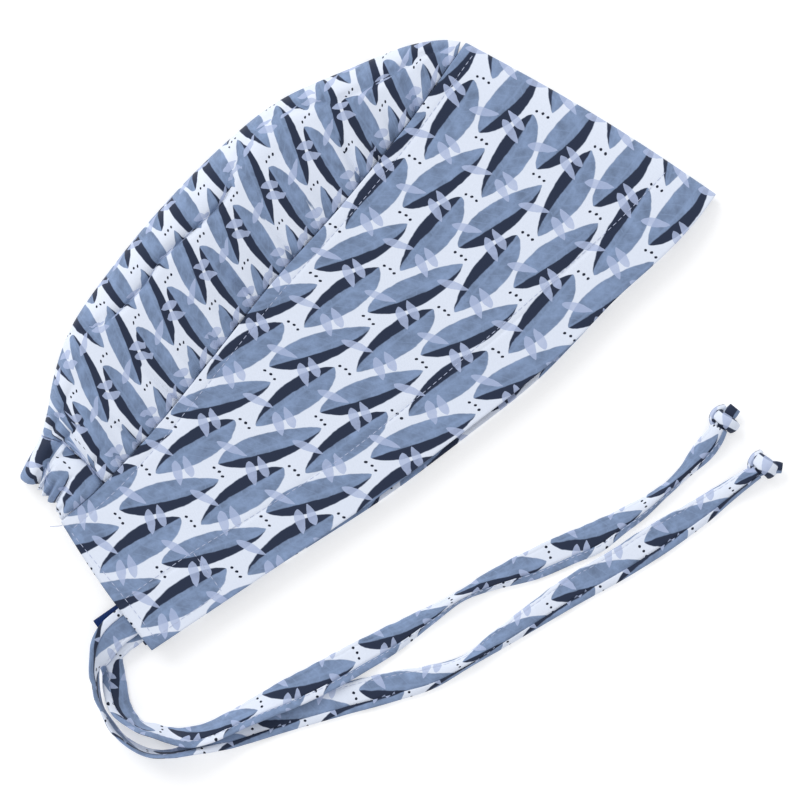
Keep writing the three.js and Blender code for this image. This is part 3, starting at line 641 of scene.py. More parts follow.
def printed_cotton(context, wrong_side=False):
    """Plain-woven cotton, screen printed with leaves and calendered: matt, with soft uneven ink.

    On the wrong side the ink shows through paler.
    """
    colours, sizes = context.scene.scrub_cap_colours, context.scene.scrub_cap_sizes

    def dress(tree):
        group = leaf_group()
        cloth = add_node(tree, "UVMap", uv_map=FLAT_CLOTH)[0]
        wander = add_node(tree, "TexNoise", {"Vector": cloth, "Scale": INK["wander_scale"]})[1]
        wander = compute_vector(tree, "SUBTRACT", wander, CELL_MIDDLE)
        wander = compute_vector(tree, "MULTIPLY", wander, (INK["wander"], INK["wander"], 0))
        inked = compute_vector(tree, "ADD", cloth, wander)
        pools = add_node(tree, "TexNoise", {"Vector": cloth, "Scale": INK["pool_scale"],
                                            "Detail": INK["pool_detail"],
                                            "Roughness": INK["pool_rough"]})[0]
        pools = spread_range(tree, pools, 0.3, 0.7, 0.72, 1.3)

        def lattice(row):
            return add_node(tree, "Group",
                            {"Cloth": inked, "Period": PERIOD, "Offset": (row["x"], row["y"], 0),
                             "Half size": (row["long"], row["wide"], 1),
                             "Turn": (0, 0, math.radians(row["turn"])), "Taper": row["taper"]},
                            node_tree=group)

        def lay_ink(under, ink, mask):
            return add_node(tree, "Mix", {0: mask, 6: under, 7: ink}, data_type="RGBA")[2]

        colour = colours.ground
        body = tint(tree, colours.leaf[:3], pools)
        vein = [min(1, INK["vein_light"] * c) for c in colours.leaf[:3]] + [1]
        for row in LEAVES:
            masks = lattice(row)
            colour = lay_ink(colour, body, masks["Leaf"])
            colour = lay_ink(colour, vein, compute(tree, "MULTIPLY", masks["Veins"], INK["vein"]))
            colour = lay_ink(colour, colours.shade, masks["Shade"])
        for row in LEAFLETS:
            thin = compute(tree, "MULTIPLY_ADD", pools, INK["leaflet_pool"], INK["leaflet"])
            thin = compute(tree, "MULTIPLY", lattice(row)["Leaf"], thin)
            colour = lay_ink(colour, colours.leaflet, thin)
        for row in SEEDS:
            colour = lay_ink(colour, colours.seed, lattice(row)["Leaf"])
        if wrong_side:
            colour = lay_ink(colour, colours.ground, INK["wrong_side"])
        # Plain weave: threads over and under in both directions, as coarse as the render can show
        threads = [add_node(tree, "TexWave", {"Vector": cloth, "Scale": WAVE_PERIOD / sizes.weave},
                            bands_direction=way)[1] for way in ("X", "Y")]
        weave = compute(tree, "ABSOLUTE", compute(tree, "SUBTRACT", *threads))
        slubs = add_node(tree, "TexNoise", {"Vector": cloth, "Scale": 900.0})[0]
        grain = compute(tree, "ADD", weave, slubs)
        colour = tint(tree, colour, spread_range(tree, grain, 0.2, 1.4, 0.955, 1.03))
        bump = add_node(tree, "Bump", {"Height": grain, "Strength": 0.35, "Distance": 0.00008})[0]
        return {"Base Color": colour, "Normal": bump, "Roughness": 0.88, "Specular IOR Level": 0.25,
                "Sheen Weight": 0.12, "Sheen Roughness": 0.5}

    return material_of("leaf_print_cotton" + ("_wrong_side" if wrong_side else ""), dress)


def sewing_thread(context):
    """Spun polyester sewing thread: twisted, pale, with a slight sheen."""
    def dress(tree):
        place = add_node(tree, "TexCoord")["Object"]
        twist = add_node(tree, "TexNoise", {"Vector": place, "Scale": 1500.0})[0]
        tone = spread_range(tree, twist, 0.0, 1.0, 0.85, 1.1)
        colour = tint(tree, context.scene.scrub_cap_colours.thread[:3], tone)
        return {"Base Color": colour, "Roughness": 0.6, "Sheen Weight": 0.2}

    return material_of("sewing_thread", dress)


def navy_ribbon(context):
    """Satin-woven polyester ribbon: deep navy with a soft sheen across its fine ribs."""
    def dress(tree):
        rib = 0.0006
        cloth = add_node(tree, "UVMap", uv_map=FLAT_CLOTH)[0]
        ribs = add_node(tree, "TexWave", {"Vector": cloth, "Scale": WAVE_PERIOD / rib, "Distortion": 0.4},
                        bands_direction="DIAGONAL")[1]
        tone = spread_range(tree, ribs, 0.0, 1.0, 0.75, 1.25)
        colour = tint(tree, context.scene.scrub_cap_colours.tab[:3], tone)
        bump = add_node(tree, "Bump", {"Height": ribs, "Strength": 0.3, "Distance": 0.00005})[0]
        return {"Base Color": colour, "Normal": bump, "Roughness": 0.5, "Specular IOR Level": 0.15,
                "Sheen Weight": 0.05}

    return material_of("satin_ribbon", dress)


def backdrop_paper_with_painted_glow():
    """Matt white backdrop paper with a painted glow of its own, which lightens the shadows cast on it."""
    def dress(tree):
        place = add_node(tree, "TexCoord")["Object"]
        fibre = add_node(tree, "TexNoise", {"Vector": place, "Scale": 400.0})[0]
        colour = tint(tree, linear("#DADADA")[:3], spread_range(tree, fibre, 0.0, 1.0, 0.99, 1.0))
        # Painted glow: the paper emits light, which lightens the cap's shadows on it and washes it out to
        # white
        return {"Base Color": colour, "Roughness": 0.95, "Specular IOR Level": 0.1,
                "Emission Color": linear("#FFFFFF"), "Emission Strength": 0.41}

    return material_of("backdrop_paper_with_painted_glow", dress)


# Cutting and sewing: the shapes

def value_at(rows, key, column, places):
    """A column of a table at any places between its rows, on a smooth curve through them."""
    keys = np.array([row[key] for row in rows], float)
    values = np.array([row[column] for row in rows], float)
    if keys[0] > keys[-1]:
        keys, values = keys[::-1], values[::-1]
    slopes = np.empty(len(keys))
    slopes[1:-1] = (values[2:] - values[:-2]) / (keys[2:] - keys[:-2])
    slopes[0] = (values[1] - values[0]) / (keys[1] - keys[0])
    slopes[-1] = (values[-1] - values[-2]) / (keys[-1] - keys[-2])
    i = np.clip(np.searchsorted(keys, places) - 1, 0, len(keys) - 2)
    span = keys[i + 1] - keys[i]
    t = np.clip((places - keys[i]) / span, 0, 1)
    rise = values[i + 1] - values[i]
    bend = slopes[i] * span * (1 - t) - slopes[i + 1] * span * t - rise * (1 - 2 * t)
    return values[i] + rise * t + bend * t * (1 - t)


def roll_rise(share):
    """Quarter of an ellipse: 0 at the fold, 1 where the cloth has come level."""
    return np.sqrt(1 - (1 - np.clip(share, 0, 1)) ** 2)


def smooth_route(points, steps):
    """A centripetal Catmull-Rom curve through points, with so many steps between two of them."""
    points = np.array(points, float)
    ends = np.vstack([2 * points[0] - points[1], points, 2 * points[-1] - points[-2]])
    curve = []
    for a, b, c, d in zip(ends, ends[1:], ends[2:], ends[3:]):
        before, here, after = (math.sqrt(np.linalg.norm(q - p)) for p, q in ((a, b), (b, c), (c, d)))
        start = ((b - a) / before - (c - a) / (before + here) + (c - b) / here) * here
        end = ((c - b) / here - (d - b) / (here + after) + (d - c) / after) * here
        for t in np.arange(steps) / steps:
            curve.append(b + start * t + (3 * (c - b) - 2 * start - end) * t ** 2
                         + (2 * (b - c) + start + end) * t ** 3)
    curve.append(points[-1])
    return np.array(curve)


def walked(route):
    """The length walked along a route up to each of its points."""
    return np.concatenate([[0], np.cumsum(np.linalg.norm(np.diff(route, axis=0), axis=1))])


def walked_across(points):
    """The length walked along each row of a grid of points."""
    lengths = np.cumsum(np.linalg.norm(np.diff(points, axis=1), axis=2), axis=1)
    return np.concatenate([np.zeros((len(points), 1)), lengths], axis=1)


def at_shares(route, shares):
    """Places on a route at shares of its length."""
    route = np.array(route, float)
    lengths = walked(route)
    wanted = np.asarray(shares) * lengths[-1]
    return np.stack([np.interp(wanted, lengths, axis) for axis in route.T], axis=-1)


def unit(vectors):
    """Vectors of length one in the directions of these."""
    return vectors / np.linalg.norm(vectors, axis=-1, keepdims=True)


def points_of(rows, axes="xy"):
    """The places that a table's rows give."""
    return [tuple(row[axis] for axis in axes) for row in rows]


def columns_along(rows, names, place):
    """Columns of a table at places that are counted in rows."""
    numbered = [{**row, "place": index} for index, row in enumerate(rows)]
    return [value_at(numbered, "place", name, place) for name in names]


def fold_steps(near, near_roll, far_roll, far):
    """Steps over a fold, each with its level share or its turn through the roll, and which are near."""
    steps = [("near", i / near, None) for i in range(near)]
    steps += [("near", None, i / near_roll) for i in range(near_roll, 0, -1)]
    steps += [("far", None, i / far_roll) for i in range(far_roll)]
    steps += [("far", i / far, None) for i in range(far, -1, -1)]
    return steps, np.array([side == "near" for side, _, _ in steps])


def to_fold(steps, length, near_roll, far_roll):
    """How far each step lies from the fold."""
    distances = []
    for side, level, turn in steps:
        roll = near_roll if side == "near" else far_roll
        if turn is None:
            distances.append(length - level * (length - roll))
        else:
            distances.append(roll * (1 - math.cos(turn * math.pi / 2)))
    return np.array(distances)


def ripple(x, y, size, seed):
    """Smooth noise from -1 to 1 over the cloth, with features of the given size."""
    flat = [noise.noise(Vector((a / size, b / size, seed))) for a, b in zip(np.ravel(x), np.ravel(y))]
    return np.array(flat).reshape(np.shape(x))


def slow_waves(x, y, waves, first_seed):
    """Rise of a cloth's slow and quick waves."""
    seeds = range(first_seed, first_seed + len(waves))
    return sum(high * ripple(x, y, size, seed) for seed, (high, size) in zip(seeds, waves.values()))


def by_fold(x, y, fold):
    """How far each place lies beside a fold and past its ends, and how deep the fold is there."""
    run, rise = fold["x2"] - fold["x1"], fold["y2"] - fold["y1"]
    length = math.hypot(run, rise)
    share = ((x - fold["x1"]) * run + (y - fold["y1"]) * rise) / length ** 2
    side = ((x - fold["x1"]) * rise - (y - fold["y1"]) * run) / length
    past = length * np.maximum(0, np.abs(share - 0.5) - 0.5)
    deep = fold["deep1"] + (fold["deep2"] - fold["deep1"]) * np.clip(share, 0, 1)
    return side, past, deep


def valleys(x, y, folds):
    """Depth of the deepest of a table's valleys at each place."""
    depth = np.zeros(np.shape(x))
    for fold in folds:
        side, past, deep = by_fold(x, y, fold)
        away = np.hypot(side, past) / fold["width"]
        depth = np.maximum(depth, deep * np.exp(-(away ** fold["sharp"])))
    return depth


def hidden_cloth(x, y, folds, hidden, reach):
    """How far the print is drawn aside at each place, where cloth disappears into a table's folds."""
    drawn = np.zeros(np.shape(x))
    deepest = max(max(fold["deep1"], fold["deep2"]) for fold in folds)
    for fold in folds:
        side, past, deep = by_fold(x, y, fold)
        jump = np.clip(side / SHARP_FOLD, -1, 1) * np.exp(-np.abs(side) / reach - (past / reach) ** 2)
        drawn += hidden * deep / deepest * jump
    return drawn


def cloth_mesh():
    """An empty mesh with the map of places on the flat cloth."""
    mesh = bmesh.new()
    mesh.loops.layers.uv.new(FLAT_CLOTH)
    return mesh


def add_cloth(name, points, flat, node, context):
    """A piece of cloth: a grid whose rows and columns of outer points and flat places are given."""
    rows, columns = points.shape[:2]
    mesh = cloth_mesh()
    uv = mesh.loops.layers.uv.verify()
    bmesh.ops.create_grid(mesh, x_segments=columns - 1, y_segments=rows - 1, size=0.5)
    spots = {}
    for vertex in mesh.verts:
        spots[vertex] = round((vertex.co.y + 0.5) * (rows - 1)), round((vertex.co.x + 0.5) * (columns - 1))
    for vertex, spot in spots.items():
        vertex.co = Vector(points[spot]) + RIM_END
    for face in mesh.faces:
        face.smooth = True
        for loop in face.loops:
            loop[uv].uv = flat[spots[loop.vert]]
    piece = finish_piece(name, mesh, [printed_cotton(context), printed_cotton(context, True)], COTTON, node)
    shell = piece.modifiers.new("wall", "SOLIDIFY")
    shell.thickness = context.scene.scrub_cap_sizes.cloth
    shell.offset = -1
    shell.material_offset = 1
    shell.material_offset_rim = 0
    return piece


def finish_piece(name, mesh, materials, slot, *nodes):
    """A finished mesh as a piece that rides on the cap and stands for its nodes."""
    data = bpy.data.meshes.new(name)
    mesh.to_mesh(data)
    mesh.free()
    piece = bpy.data.objects.new(name, data)
    bpy.context.collection.objects.link(piece)
    for material in materials:
        data.materials.append(material)
    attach(piece, BODY)
    if nodes:
        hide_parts(*nodes)
    return piece


# The band

def seam_share(x):
    """Share of the way from the nape to the brow along the band's seam."""
    return (x - SEAM[0]["x"]) / SEAM_SPAN


def band_plan(along, up, side):
    """A place of the band in plan: along from the nape to the brow, up from the rim to the seam."""
    rim_x = along * RIM_LENGTH
    seam_x = SEAM[0]["x"] + along * SEAM_SPAN
    bow = np.sin(np.pi * up) * (BROW_FOLD["bow"] * along ** 6 - NAPE_BOW * (1 - along) ** 6)
    rim_y = value_at(RIM, "x", side, rim_x)
    seam_y = value_at(SEAM, "x", "y", seam_x)
    return rim_x + (seam_x - rim_x) * up + bow, rim_y + (seam_y - rim_y) * up


def band_top(along, up, toward):
    """Height of the near side's outer face, coming down to the brow fold."""
    x = along * RIM_LENGTH
    rim, middle, seam = (value_at(HEIGHT, "x", column, x) for column in ("rim", "middle", "seam"))
    level = rim * (1 - up) * (1 - 2 * up) + middle * 4 * up * (1 - up) + seam * up * (2 * up - 1)
    rise = roll_rise(toward / BROW_FOLD["near_roll"])
    return BROW_FOLD["height"] + (level - BROW_FOLD["height"]) * rise


def turned_edge(base, half, angles):
    """Rows round an edge whose cloth is turned in, with half its depth and the angles of its turn."""
    turns = [math.radians(angle) for angle in angles]
    return [(base, half * (1 - math.sin(turn)), half * (1 - math.cos(turn))) for turn in turns]


def band_rows():
    """Rows of the band: height over the rim or below the seam, and depth under the outer face."""
    hem, seam = BAND_TURNS["hem"], BAND_TURNS["seam"]
    rows = [("rim", d, 2 * hem) for d in (HEM_WIDTH, 0.018, 0.014, 0.010, 0.006, 0.003, 0.0015)]
    rows += turned_edge("rim", hem, range(150, 0, -30))
    rows += [("rim", d, 0) for d in (0.0006, 0.0012, 0.002)]
    rows += [("rim", 0.002 + 0.0022 * k, 0) for k in range(1, 8)]
    rows += [("rim", HEM_WIDTH + 0.0004 * k, 0) for k in (-7, -4, -2.5, -1.5, -0.5, 0.5, 1.5, 3)]
    rows += [("between", k / 34, 0) for k in range(1, 34)]
    rows += [("seam", d, 0) for d in (0.008, 0.0068, 0.006, 0.0055, 0.005, 0.0045, 0.004, 0.0032, 0.0024)]
    rows += [("seam", d, 0) for d in (0.0016, 0.001, 0.0006)]
    rows += turned_edge("seam", seam, range(30, 151, 30))
    rows += [("seam", d, 2 * seam) for d in (0.001, 0.003)]
    return rows


def band_waves(x, y, above, below):
    """Slow waves of the pressed cloth, and puckers along the lines of stitches, as a rise at each place."""
    rise = slow_waves(x, y, BAND_WAVES, 1)
    for gap, line in ((below - TOPSTITCH["below"], TOPSTITCH), (above - HEM_WIDTH, HEM_LINE)):
        near_line = np.exp(-((gap / line["reach"]) ** 2))
        rise = rise + PUCKERS["high"] * near_line * ripple(x, y * PUCKERS["across"], line["size"], 3.0)
        rise = rise - PUCKERS["groove"] * np.exp(-((gap / PUCKERS["groove_width"]) ** 2))
    near_seam = np.exp(-((below / SEAM_PUCKERS["reach"]) ** 2))
    gathered = ripple(x, y * SEAM_PUCKERS["across"], SEAM_PUCKERS["size"], 4.0)
    return rise + SEAM_PUCKERS["high"] * near_seam * gathered


def band_surface():
    """Outer points of the band and their places on the flat cloth."""
    steps, near = fold_steps(**BAND_STEPS)
    fold = band_plan(np.array(1.0), 0.5, "near")[0] - band_plan(np.array(0.0), 0.5, "near")[0]
    toward = to_fold(steps, fold, BROW_FOLD["near_roll"], BROW_FOLD["far_roll"])
    along = 1 - toward / fold
    x0, y0 = band_plan(along, 0, "near")
    x1, y1 = band_plan(along, 1, "near")
    height = np.hypot(x1 - x0, y1 - y0)
    low, high = (HEM_WIDTH + 0.0014) / height, 1 - 0.0085 / height
    calm = roll_rise(toward / BAND_CALM)
    bottom = BROW_FOLD["height"] * (1 - roll_rise(toward / BROW_FOLD["far_roll"]))
    points, flat, depths = [], [], []
    for base, distance, depth in band_rows():
        up = {"rim": distance / height, "seam": 1 - distance / height,
              "between": low + (high - low) * distance}[base]
        plans = [band_plan(along, up, side) for side in ("near", "far")]
        x, y = (np.where(near, *pair) for pair in zip(*plans))
        above = height * up
        top = band_top(along, up, toward) + calm * band_waves(x, y, above, height * (1 - up))
        points.append(np.stack([x, y, np.where(near, top, bottom)], axis=-1))
        u = np.where(near, fold - toward, fold + toward)
        v = -above if base == "rim" and depth >= TURNED_IN else above
        flat.append(np.stack([u, v], axis=-1))
        depths.append(np.full(len(steps), depth))
    points, flat, depths = np.array(points), np.array(flat), np.array(depths)
    return points - outward(points) * depths[..., None], flat


def outward(points):
    """Outward directions of a folded cloth: up on the near side, down on the far one, out at the fold."""
    across = np.gradient(points, axis=1)
    out = np.stack([-across[..., 2], np.zeros_like(across[..., 0]), across[..., 0]], axis=-1)
    return out / np.maximum(np.linalg.norm(out, axis=2, keepdims=True), 1e-12)


def lean_print(flat, lean):
    """Turn the print on the flat cloth, by an angle that changes along it."""
    along = np.linspace(flat[..., 0].min(), flat[..., 0].max(), 400)
    angles = np.radians(np.interp(along, [row["u"] for row in lean], [row["angle"] for row in lean]))
    shift = np.concatenate([[0], np.cumsum(np.tan(angles[1:]) * np.diff(along))])
    leaned = flat.copy()
    leaned[..., 1] -= np.interp(flat[..., 0], along, shift)
    return leaned


# The crown

def crown_tucks():
    """The tucks of the crown as folds that start just under its seam."""
    folds = []
    for tuck in TUCKS:
        y = float(value_at(SEAM, "x", "y", np.array(tuck["x"])))
        folds.append({"x1": tuck["x"], "y1": y - 0.002, "x2": tuck["x"] + tuck["lean"],
                      "y2": y + tuck["reach"], "deep1": tuck["deep"], "deep2": 0,
                      "width": TUCK["width"], "sharp": TUCK["sharp"]})
    return folds


def crown_row(steps, near, along, past, start, end):
    """One row of the crown, from under its seam over the fold at its edge and back on the far side."""
    puff = {name: float(value_at(PUFF, "along", name, np.array(along))) for name in ("peak", "edge", "roll")}
    way = end - start
    length = np.linalg.norm(way)
    way = way / length
    under = CROWN_SEAM["under"]
    start = start - way * under
    length = length + under
    roll = min(puff["roll"], SHORT_ROW_ROLL["near"] * length)
    far_roll = min(CROWN_FAR_ROLL, SHORT_ROW_ROLL["far"] * length)
    toward = to_fold(steps, length, roll, far_roll)
    # The far side stops short of the seam
    toward = np.where(near, toward, toward * (length - CROWN_SEAM["far_stop"] * under) / length)
    x, y = end[0] - way[0] * toward, end[1] - way[1] * toward
    band_along = np.clip(seam_share(start[0]), 0, 1)
    to_brow = (1 - band_along) * SEAM_SPAN
    on_band = band_top(np.array(band_along), 1, np.array(to_brow))
    dip = CROWN_SEAM["dip"] + CROWN_SEAM["casing_dip"] * min(1.0, past * CROWN_SEAM["corner"])
    low = on_band + (puff["peak"] - on_band) * past - dip
    out = length - under - toward
    shown = np.clip(out / max(length - under - roll, 1e-4), 0, 1)
    bulge = CROWN_SEAM["bulge"] * dip * roll_rise(out / CROWN_SEAM["roll"])
    level = low + bulge + (puff["peak"] - low - bulge) * np.sin(shown * np.pi / 2)
    top = puff["edge"] + (level - puff["edge"]) * roll_rise(toward / roll)
    bottom = puff["edge"] * (1 - roll_rise(toward / far_roll))
    return np.stack([x, y, np.where(near, top, bottom)], axis=-1)


def crown_surface():
    """Outer points of the crown and their places on the flat cloth."""
    steps, near = fold_steps(**CROWN_STEPS)
    first, last = SEAM[-1]["x"] - CROWN_START, CASING_UNDER["seam"][0] + CROWN_START
    seam_x = np.linspace(first, last, 90)
    seam = list(zip(seam_x, value_at(SEAM, "x", "y", seam_x)))
    side = points_of(CASING_SEAM)[:-1]
    shares = np.linspace(0, 1, CROWN_ROWS + 1)
    inside = at_shares(seam + side, shares)
    corner = walked(seam + side[:1])[-1] / walked(seam + side)[-1]
    edge = at_shares(smooth_route(points_of(CROWN_EDGE), 12), shares)
    points = np.array([crown_row(steps, near, along, max(0.0, (along - corner) / (1 - corner)), start, end)
                       for along, start, end in zip(shares, inside, edge)])
    x, y, z = (points[..., axis] for axis in range(3))
    tucks = crown_tucks()
    dent, hidden = crown_crease(x, y, near)
    folds = valleys(x, y, CROWN_FOLDS) + valleys(x, y, tucks)
    free = np.clip((z - CROWN_FREE["above"]) / CROWN_FREE["over"], 0, 1) * near
    points[..., 2] += (crown_gathers(x, y, points, shares) - dent - folds) * free
    drawn = hidden_cloth(x, y, tucks + CROWN_FOLDS, TUCK["hidden"], TUCK["spread"]) * near
    u = walked_across(points) + CROWN_PRINT["u"] + hidden
    return points, np.stack([u, shares[:, None] * CROWN_PRINT["wide"] + drawn], axis=-1)


def crown_crease(x, y, near):
    """Depth of the long crease at each place, and the cloth that it hides before there."""
    crease_y, deep, hidden = (value_at(CROWN_CREASE, "x", name, x) for name in ("y", "deep", "hidden"))
    crease = (x > CROWN_CREASE[0]["x"]) * near
    past = (y - crease_y) * crease
    beyond = np.clip(past / SHARP_FOLD, -1, 1) * 0.5 + 0.5
    dent = deep * np.exp(-((np.abs(past) / CREASE["narrow"]) ** CREASE["sharp"]))
    dent = dent + CREASE["step"] * beyond * np.exp(-past / CREASE["wide"])
    return dent * crease * np.clip(deep / CREASE["shallow"], 0, 1), hidden * beyond * crease


def crown_gathers(x, y, points, shares):
    """Rise of the crown's gathers, which run out from the seam and fade, and of its waves."""
    from_start = walked_across(points[..., :2])
    along = np.broadcast_to(shares[:, None], x.shape)
    turns = GATHERS["count"] * along + GATHERS["wander"] * ripple(along, 0 * along, 0.09, 5.0)
    waves = GATHERS["high"] * np.sin(2 * np.pi * turns) * np.clip(from_start / GATHERS["start"], 0, 1)
    waves = waves * np.exp(-((from_start / GATHERS["reach"]) ** 2))
    fine = GATHERS["fine"] * ripple(along * 0.25, from_start * 0.25, 0.0045, 6.0)
    fine = fine * np.exp(-((from_start / GATHERS["fine_reach"]) ** 2))
    return waves + fine + slow_waves(x, y, CROWN_WAVES, 7)


# The casing

def casing_surface():
    """Outer points of the elastic casing and their places on the flat cloth."""
    steps, near = fold_steps(**CASING_STEPS)
    seam, edge = (smooth_route([CASING_UNDER[name]] + points_of(rows), 8)
                  for name, rows in (("seam", CASING_SEAM), ("edge", CASING_EDGE)))
    seam_length, edge_length = walked(seam)[-1], walked(edge)[-1]
    outs = np.linspace(-0.05, 1, CASING_ROWS + 1)
    width = np.linalg.norm(seam.mean(axis=0) - edge.mean(axis=0))
    points = []
    for out in outs:
        length = seam_length + (edge_length - seam_length) * out
        toward = to_fold(steps, length, CASING_FOLD["near_roll"], CASING_FOLD["far_roll"])
        shares = np.clip(1 - toward / length, 0, 1)
        x, y = (at_shares(seam, shares) * (1 - out) + at_shares(edge, shares) * out).T
        level = band_top(np.array(np.clip(seam_share(x[0]), 0, 1)), 1, np.array(0.2))
        puff = CASING_PUFF["middle"] * math.sin(math.pi * np.clip(out * 1.15, 0, 1))
        puff = puff + CASING_PUFF["edge"] * out
        dip = CASING_PUFF["seam_dip"] * (1 - roll_rise(out * width / CASING_PUFF["seam_roll"]))
        curl = CASING_PUFF["curl"] * np.clip((out - 0.84) / 0.16, 0, 1) ** 2
        above = y - value_at(SEAM, "x", "y", x)
        dip = dip + CASING_PUFF["band_dip"] * (1 - roll_rise(above / CASING_PUFF["band_roll"]))
        dents = valleys(x, y, CASING_FOLDS)
        rise = roll_rise(toward / CASING_FOLD["near_roll"])
        soft = CASING_PUFF["soft"] * ripple(x, y, CASING_PUFF["soft_size"], 9.0)
        top = CASING_FOLD["height"] + (level + puff - dip - curl - CASING_FOLD["height"]) * rise
        top = top + (soft - dents) * rise
        bottom = CASING_FOLD["height"] * (1 - roll_rise(toward / CASING_FOLD["far_roll"]))
        # The free edge stands out less in the folds
        corner = CASING_PUFF["round"] * (1 - roll_rise(toward / 0.004))
        x = x + (dents * 0.6 + corner) * np.clip(out, 0, 1) ** 3
        points.append(np.stack([x, y, np.where(near, top, bottom)], axis=-1))
    points = np.array(points)
    drawn = hidden_cloth(points[..., 0], points[..., 1], CASING_FOLDS, CASING_PUFF["hidden"],
                         CASING_PUFF["spread"])
    arc = walked_across(points)
    u = outs[::-1, None] * CASING_PRINT["width"] + CASING_PRINT["u"] + 0 * arc
    v = arc * CASING_PRINT["stretch"] + CASING_PRINT["v"] + drawn * near
    return points, np.stack([u, v], axis=-1)


# Ties and knots

ROUND = np.sin(np.linspace(-np.pi / 2, np.pi / 2, 13))  # even section: places across one face


def tube_rings(centres, asides, faces, widths, thicknesses, cross=ROUND, rise=0.0, arch=0.0):
    """Rings of a flat tube: for each centre, the points of its upper face and then of its lower one."""
    around = np.concatenate([cross, cross[-2:0:-1]])
    upper = np.concatenate([np.ones(len(cross)), -np.ones(len(cross) - 2)])
    rise = np.concatenate([np.broadcast_to(rise, len(cross)), np.zeros(len(cross) - 2)])
    half = upper * 0.5 * np.sqrt(np.clip(1 - np.abs(around) ** 6, 0, 1))
    spread = np.outer(widths, around / 2)
    lift = np.outer(thicknesses, half) + rise + np.outer(np.broadcast_to(arch, len(centres)), 1 - around ** 2)
    return centres[:, None] + spread[..., None] * asides[:, None] + lift[..., None] * faces[:, None]


def round_places(cross, width, folded=None):
    """Flat places of both ends of each segment round a section; a folded part shows other cloth."""
    there = np.stack([cross[:-1], cross[1:]], axis=1)
    round_both = np.vstack([there, 2 - there[::-1, ::-1]]) * width / 2
    if folded is not None:
        round_both[:len(there)][folded] += HEM_PRINT
    return round_both


def add_tube(mesh, rings, flat_along, flat_round):
    """Add a tube through rings of points to a mesh, with its ends closed."""
    uv = mesh.loops.layers.uv.verify()
    count, around = rings.shape[:2]
    part = bmesh.ops.create_grid(mesh, x_segments=count - 1, y_segments=around, size=0.5)["verts"]
    spots = {}
    for vertex in part:
        spots[vertex] = round((vertex.co.x + 0.5) * (count - 1)), round((vertex.co.y + 0.5) * around)
    for face in {face for vertex in part for face in vertex.link_faces}:
        face.smooth = True
        first = min(spots[vertex][1] for vertex in face.verts)
        for loop in face.loops:
            k, n = spots[loop.vert]
            loop[uv].uv = (flat_along[k], flat_round[first][n - first])
    for vertex, (k, n) in spots.items():
        vertex.co = Vector(rings[k, n % around]) + RIM_END
    bmesh.ops.remove_doubles(mesh, verts=part, dist=1e-6)
    bmesh.ops.holes_fill(mesh, edges=[edge for edge in mesh.edges if edge.is_boundary], sides=0)
    bmesh.ops.recalc_face_normals(mesh, faces=mesh.faces[:])


def wander(steps, size, seed):
    """Smooth noise from -1 to 1 along a route."""
    return np.array([noise.noise(Vector((step / size, seed, 0.5))) for step in steps])


def tie_frame(rows, seed):
    """A tie's route in even steps, with its flat section's axes and widths."""
    dense = smooth_route(points_of(rows, "xyz"), 24)
    lengths = walked(dense)
    steps = np.linspace(0, lengths[-1], int(lengths[-1] / TIE_STEP))
    centres = np.stack([np.interp(steps, lengths, axis) for axis in dense.T], axis=-1)
    place = np.interp(steps, lengths, np.linspace(0, len(rows) - 1, len(dense)))
    roll, width = columns_along(rows, ("roll", "width"), place)
    loose = np.clip((steps - TIE_START["at"]) / TIE_START["over"], 0, 1)
    sway = TIE_WAVES["lying"] + TIE_WAVES["standing"] * np.abs(np.sin(np.radians(roll)))
    roll = np.radians(roll + loose * sway * wander(steps, TIE_WAVES["size"], seed))[:, None]
    ahead = unit(np.gradient(centres, axis=0))
    left = unit(np.cross((0, 0, 1), ahead))
    lift = np.cross(ahead, left)
    asides = left * np.cos(roll) + lift * np.sin(roll)
    return steps, centres, asides, lift * np.cos(roll) - left * np.sin(roll), width


def tie_section():
    """Places across a tie's upper face and its rise there."""
    return (np.array([row[column] for row in TIE_SECTION]) for column in ("across", "rise"))


def tie_rings(rows, thickness, seed):
    """Rings of a sewn tie with its puckered edges, arched where it is drawn narrow."""
    steps, centres, asides, faces, width = tie_frame(rows, seed)
    cross, rise = tie_section()
    pucker = wander(steps, TIE_PUCKER["size"], seed + 10)
    centres = centres + asides * (pucker * TIE_PUCKER["aside"])[:, None]
    arch = np.clip(1 - width / TIE_WIDTH, 0, 1) * NARROW_ARCH
    width = width - TIE_PUCKER["trim"] + pucker * TIE_PUCKER["width"]
    rings = tube_rings(centres, asides, faces, width, np.full(len(steps), thickness), cross, rise, arch)
    # Both edges wave a little up and down
    around = np.concatenate([cross, cross[-2:0:-1]])
    for edge in (-1, 1):
        wave = TIE_WAVES["edge"] * wander(steps, TIE_EDGE_WAVE, seed + 20 * edge)
        rings += (np.outer(wave, np.clip(edge * around, 0, 1) ** 2))[..., None] * faces[:, None]
    return steps, rings


def add_tie(context, name, rows, seed, node):
    """One tie as a piece."""
    steps, rings = tie_rings(rows, context.scene.scrub_cap_sizes.tie, seed)
    cross, _ = tie_section()
    middles = (cross[1:] + cross[:-1]) / 2
    mesh = cloth_mesh()
    u, v = TIE_PRINTS[seed - 1]
    add_tube(mesh, rings, steps + u, round_places(cross, TIE_WIDTH, middles < HEM_EDGE) + v)
    piece = finish_piece(name, mesh, [printed_cotton(context)], COTTON, node)
    return piece


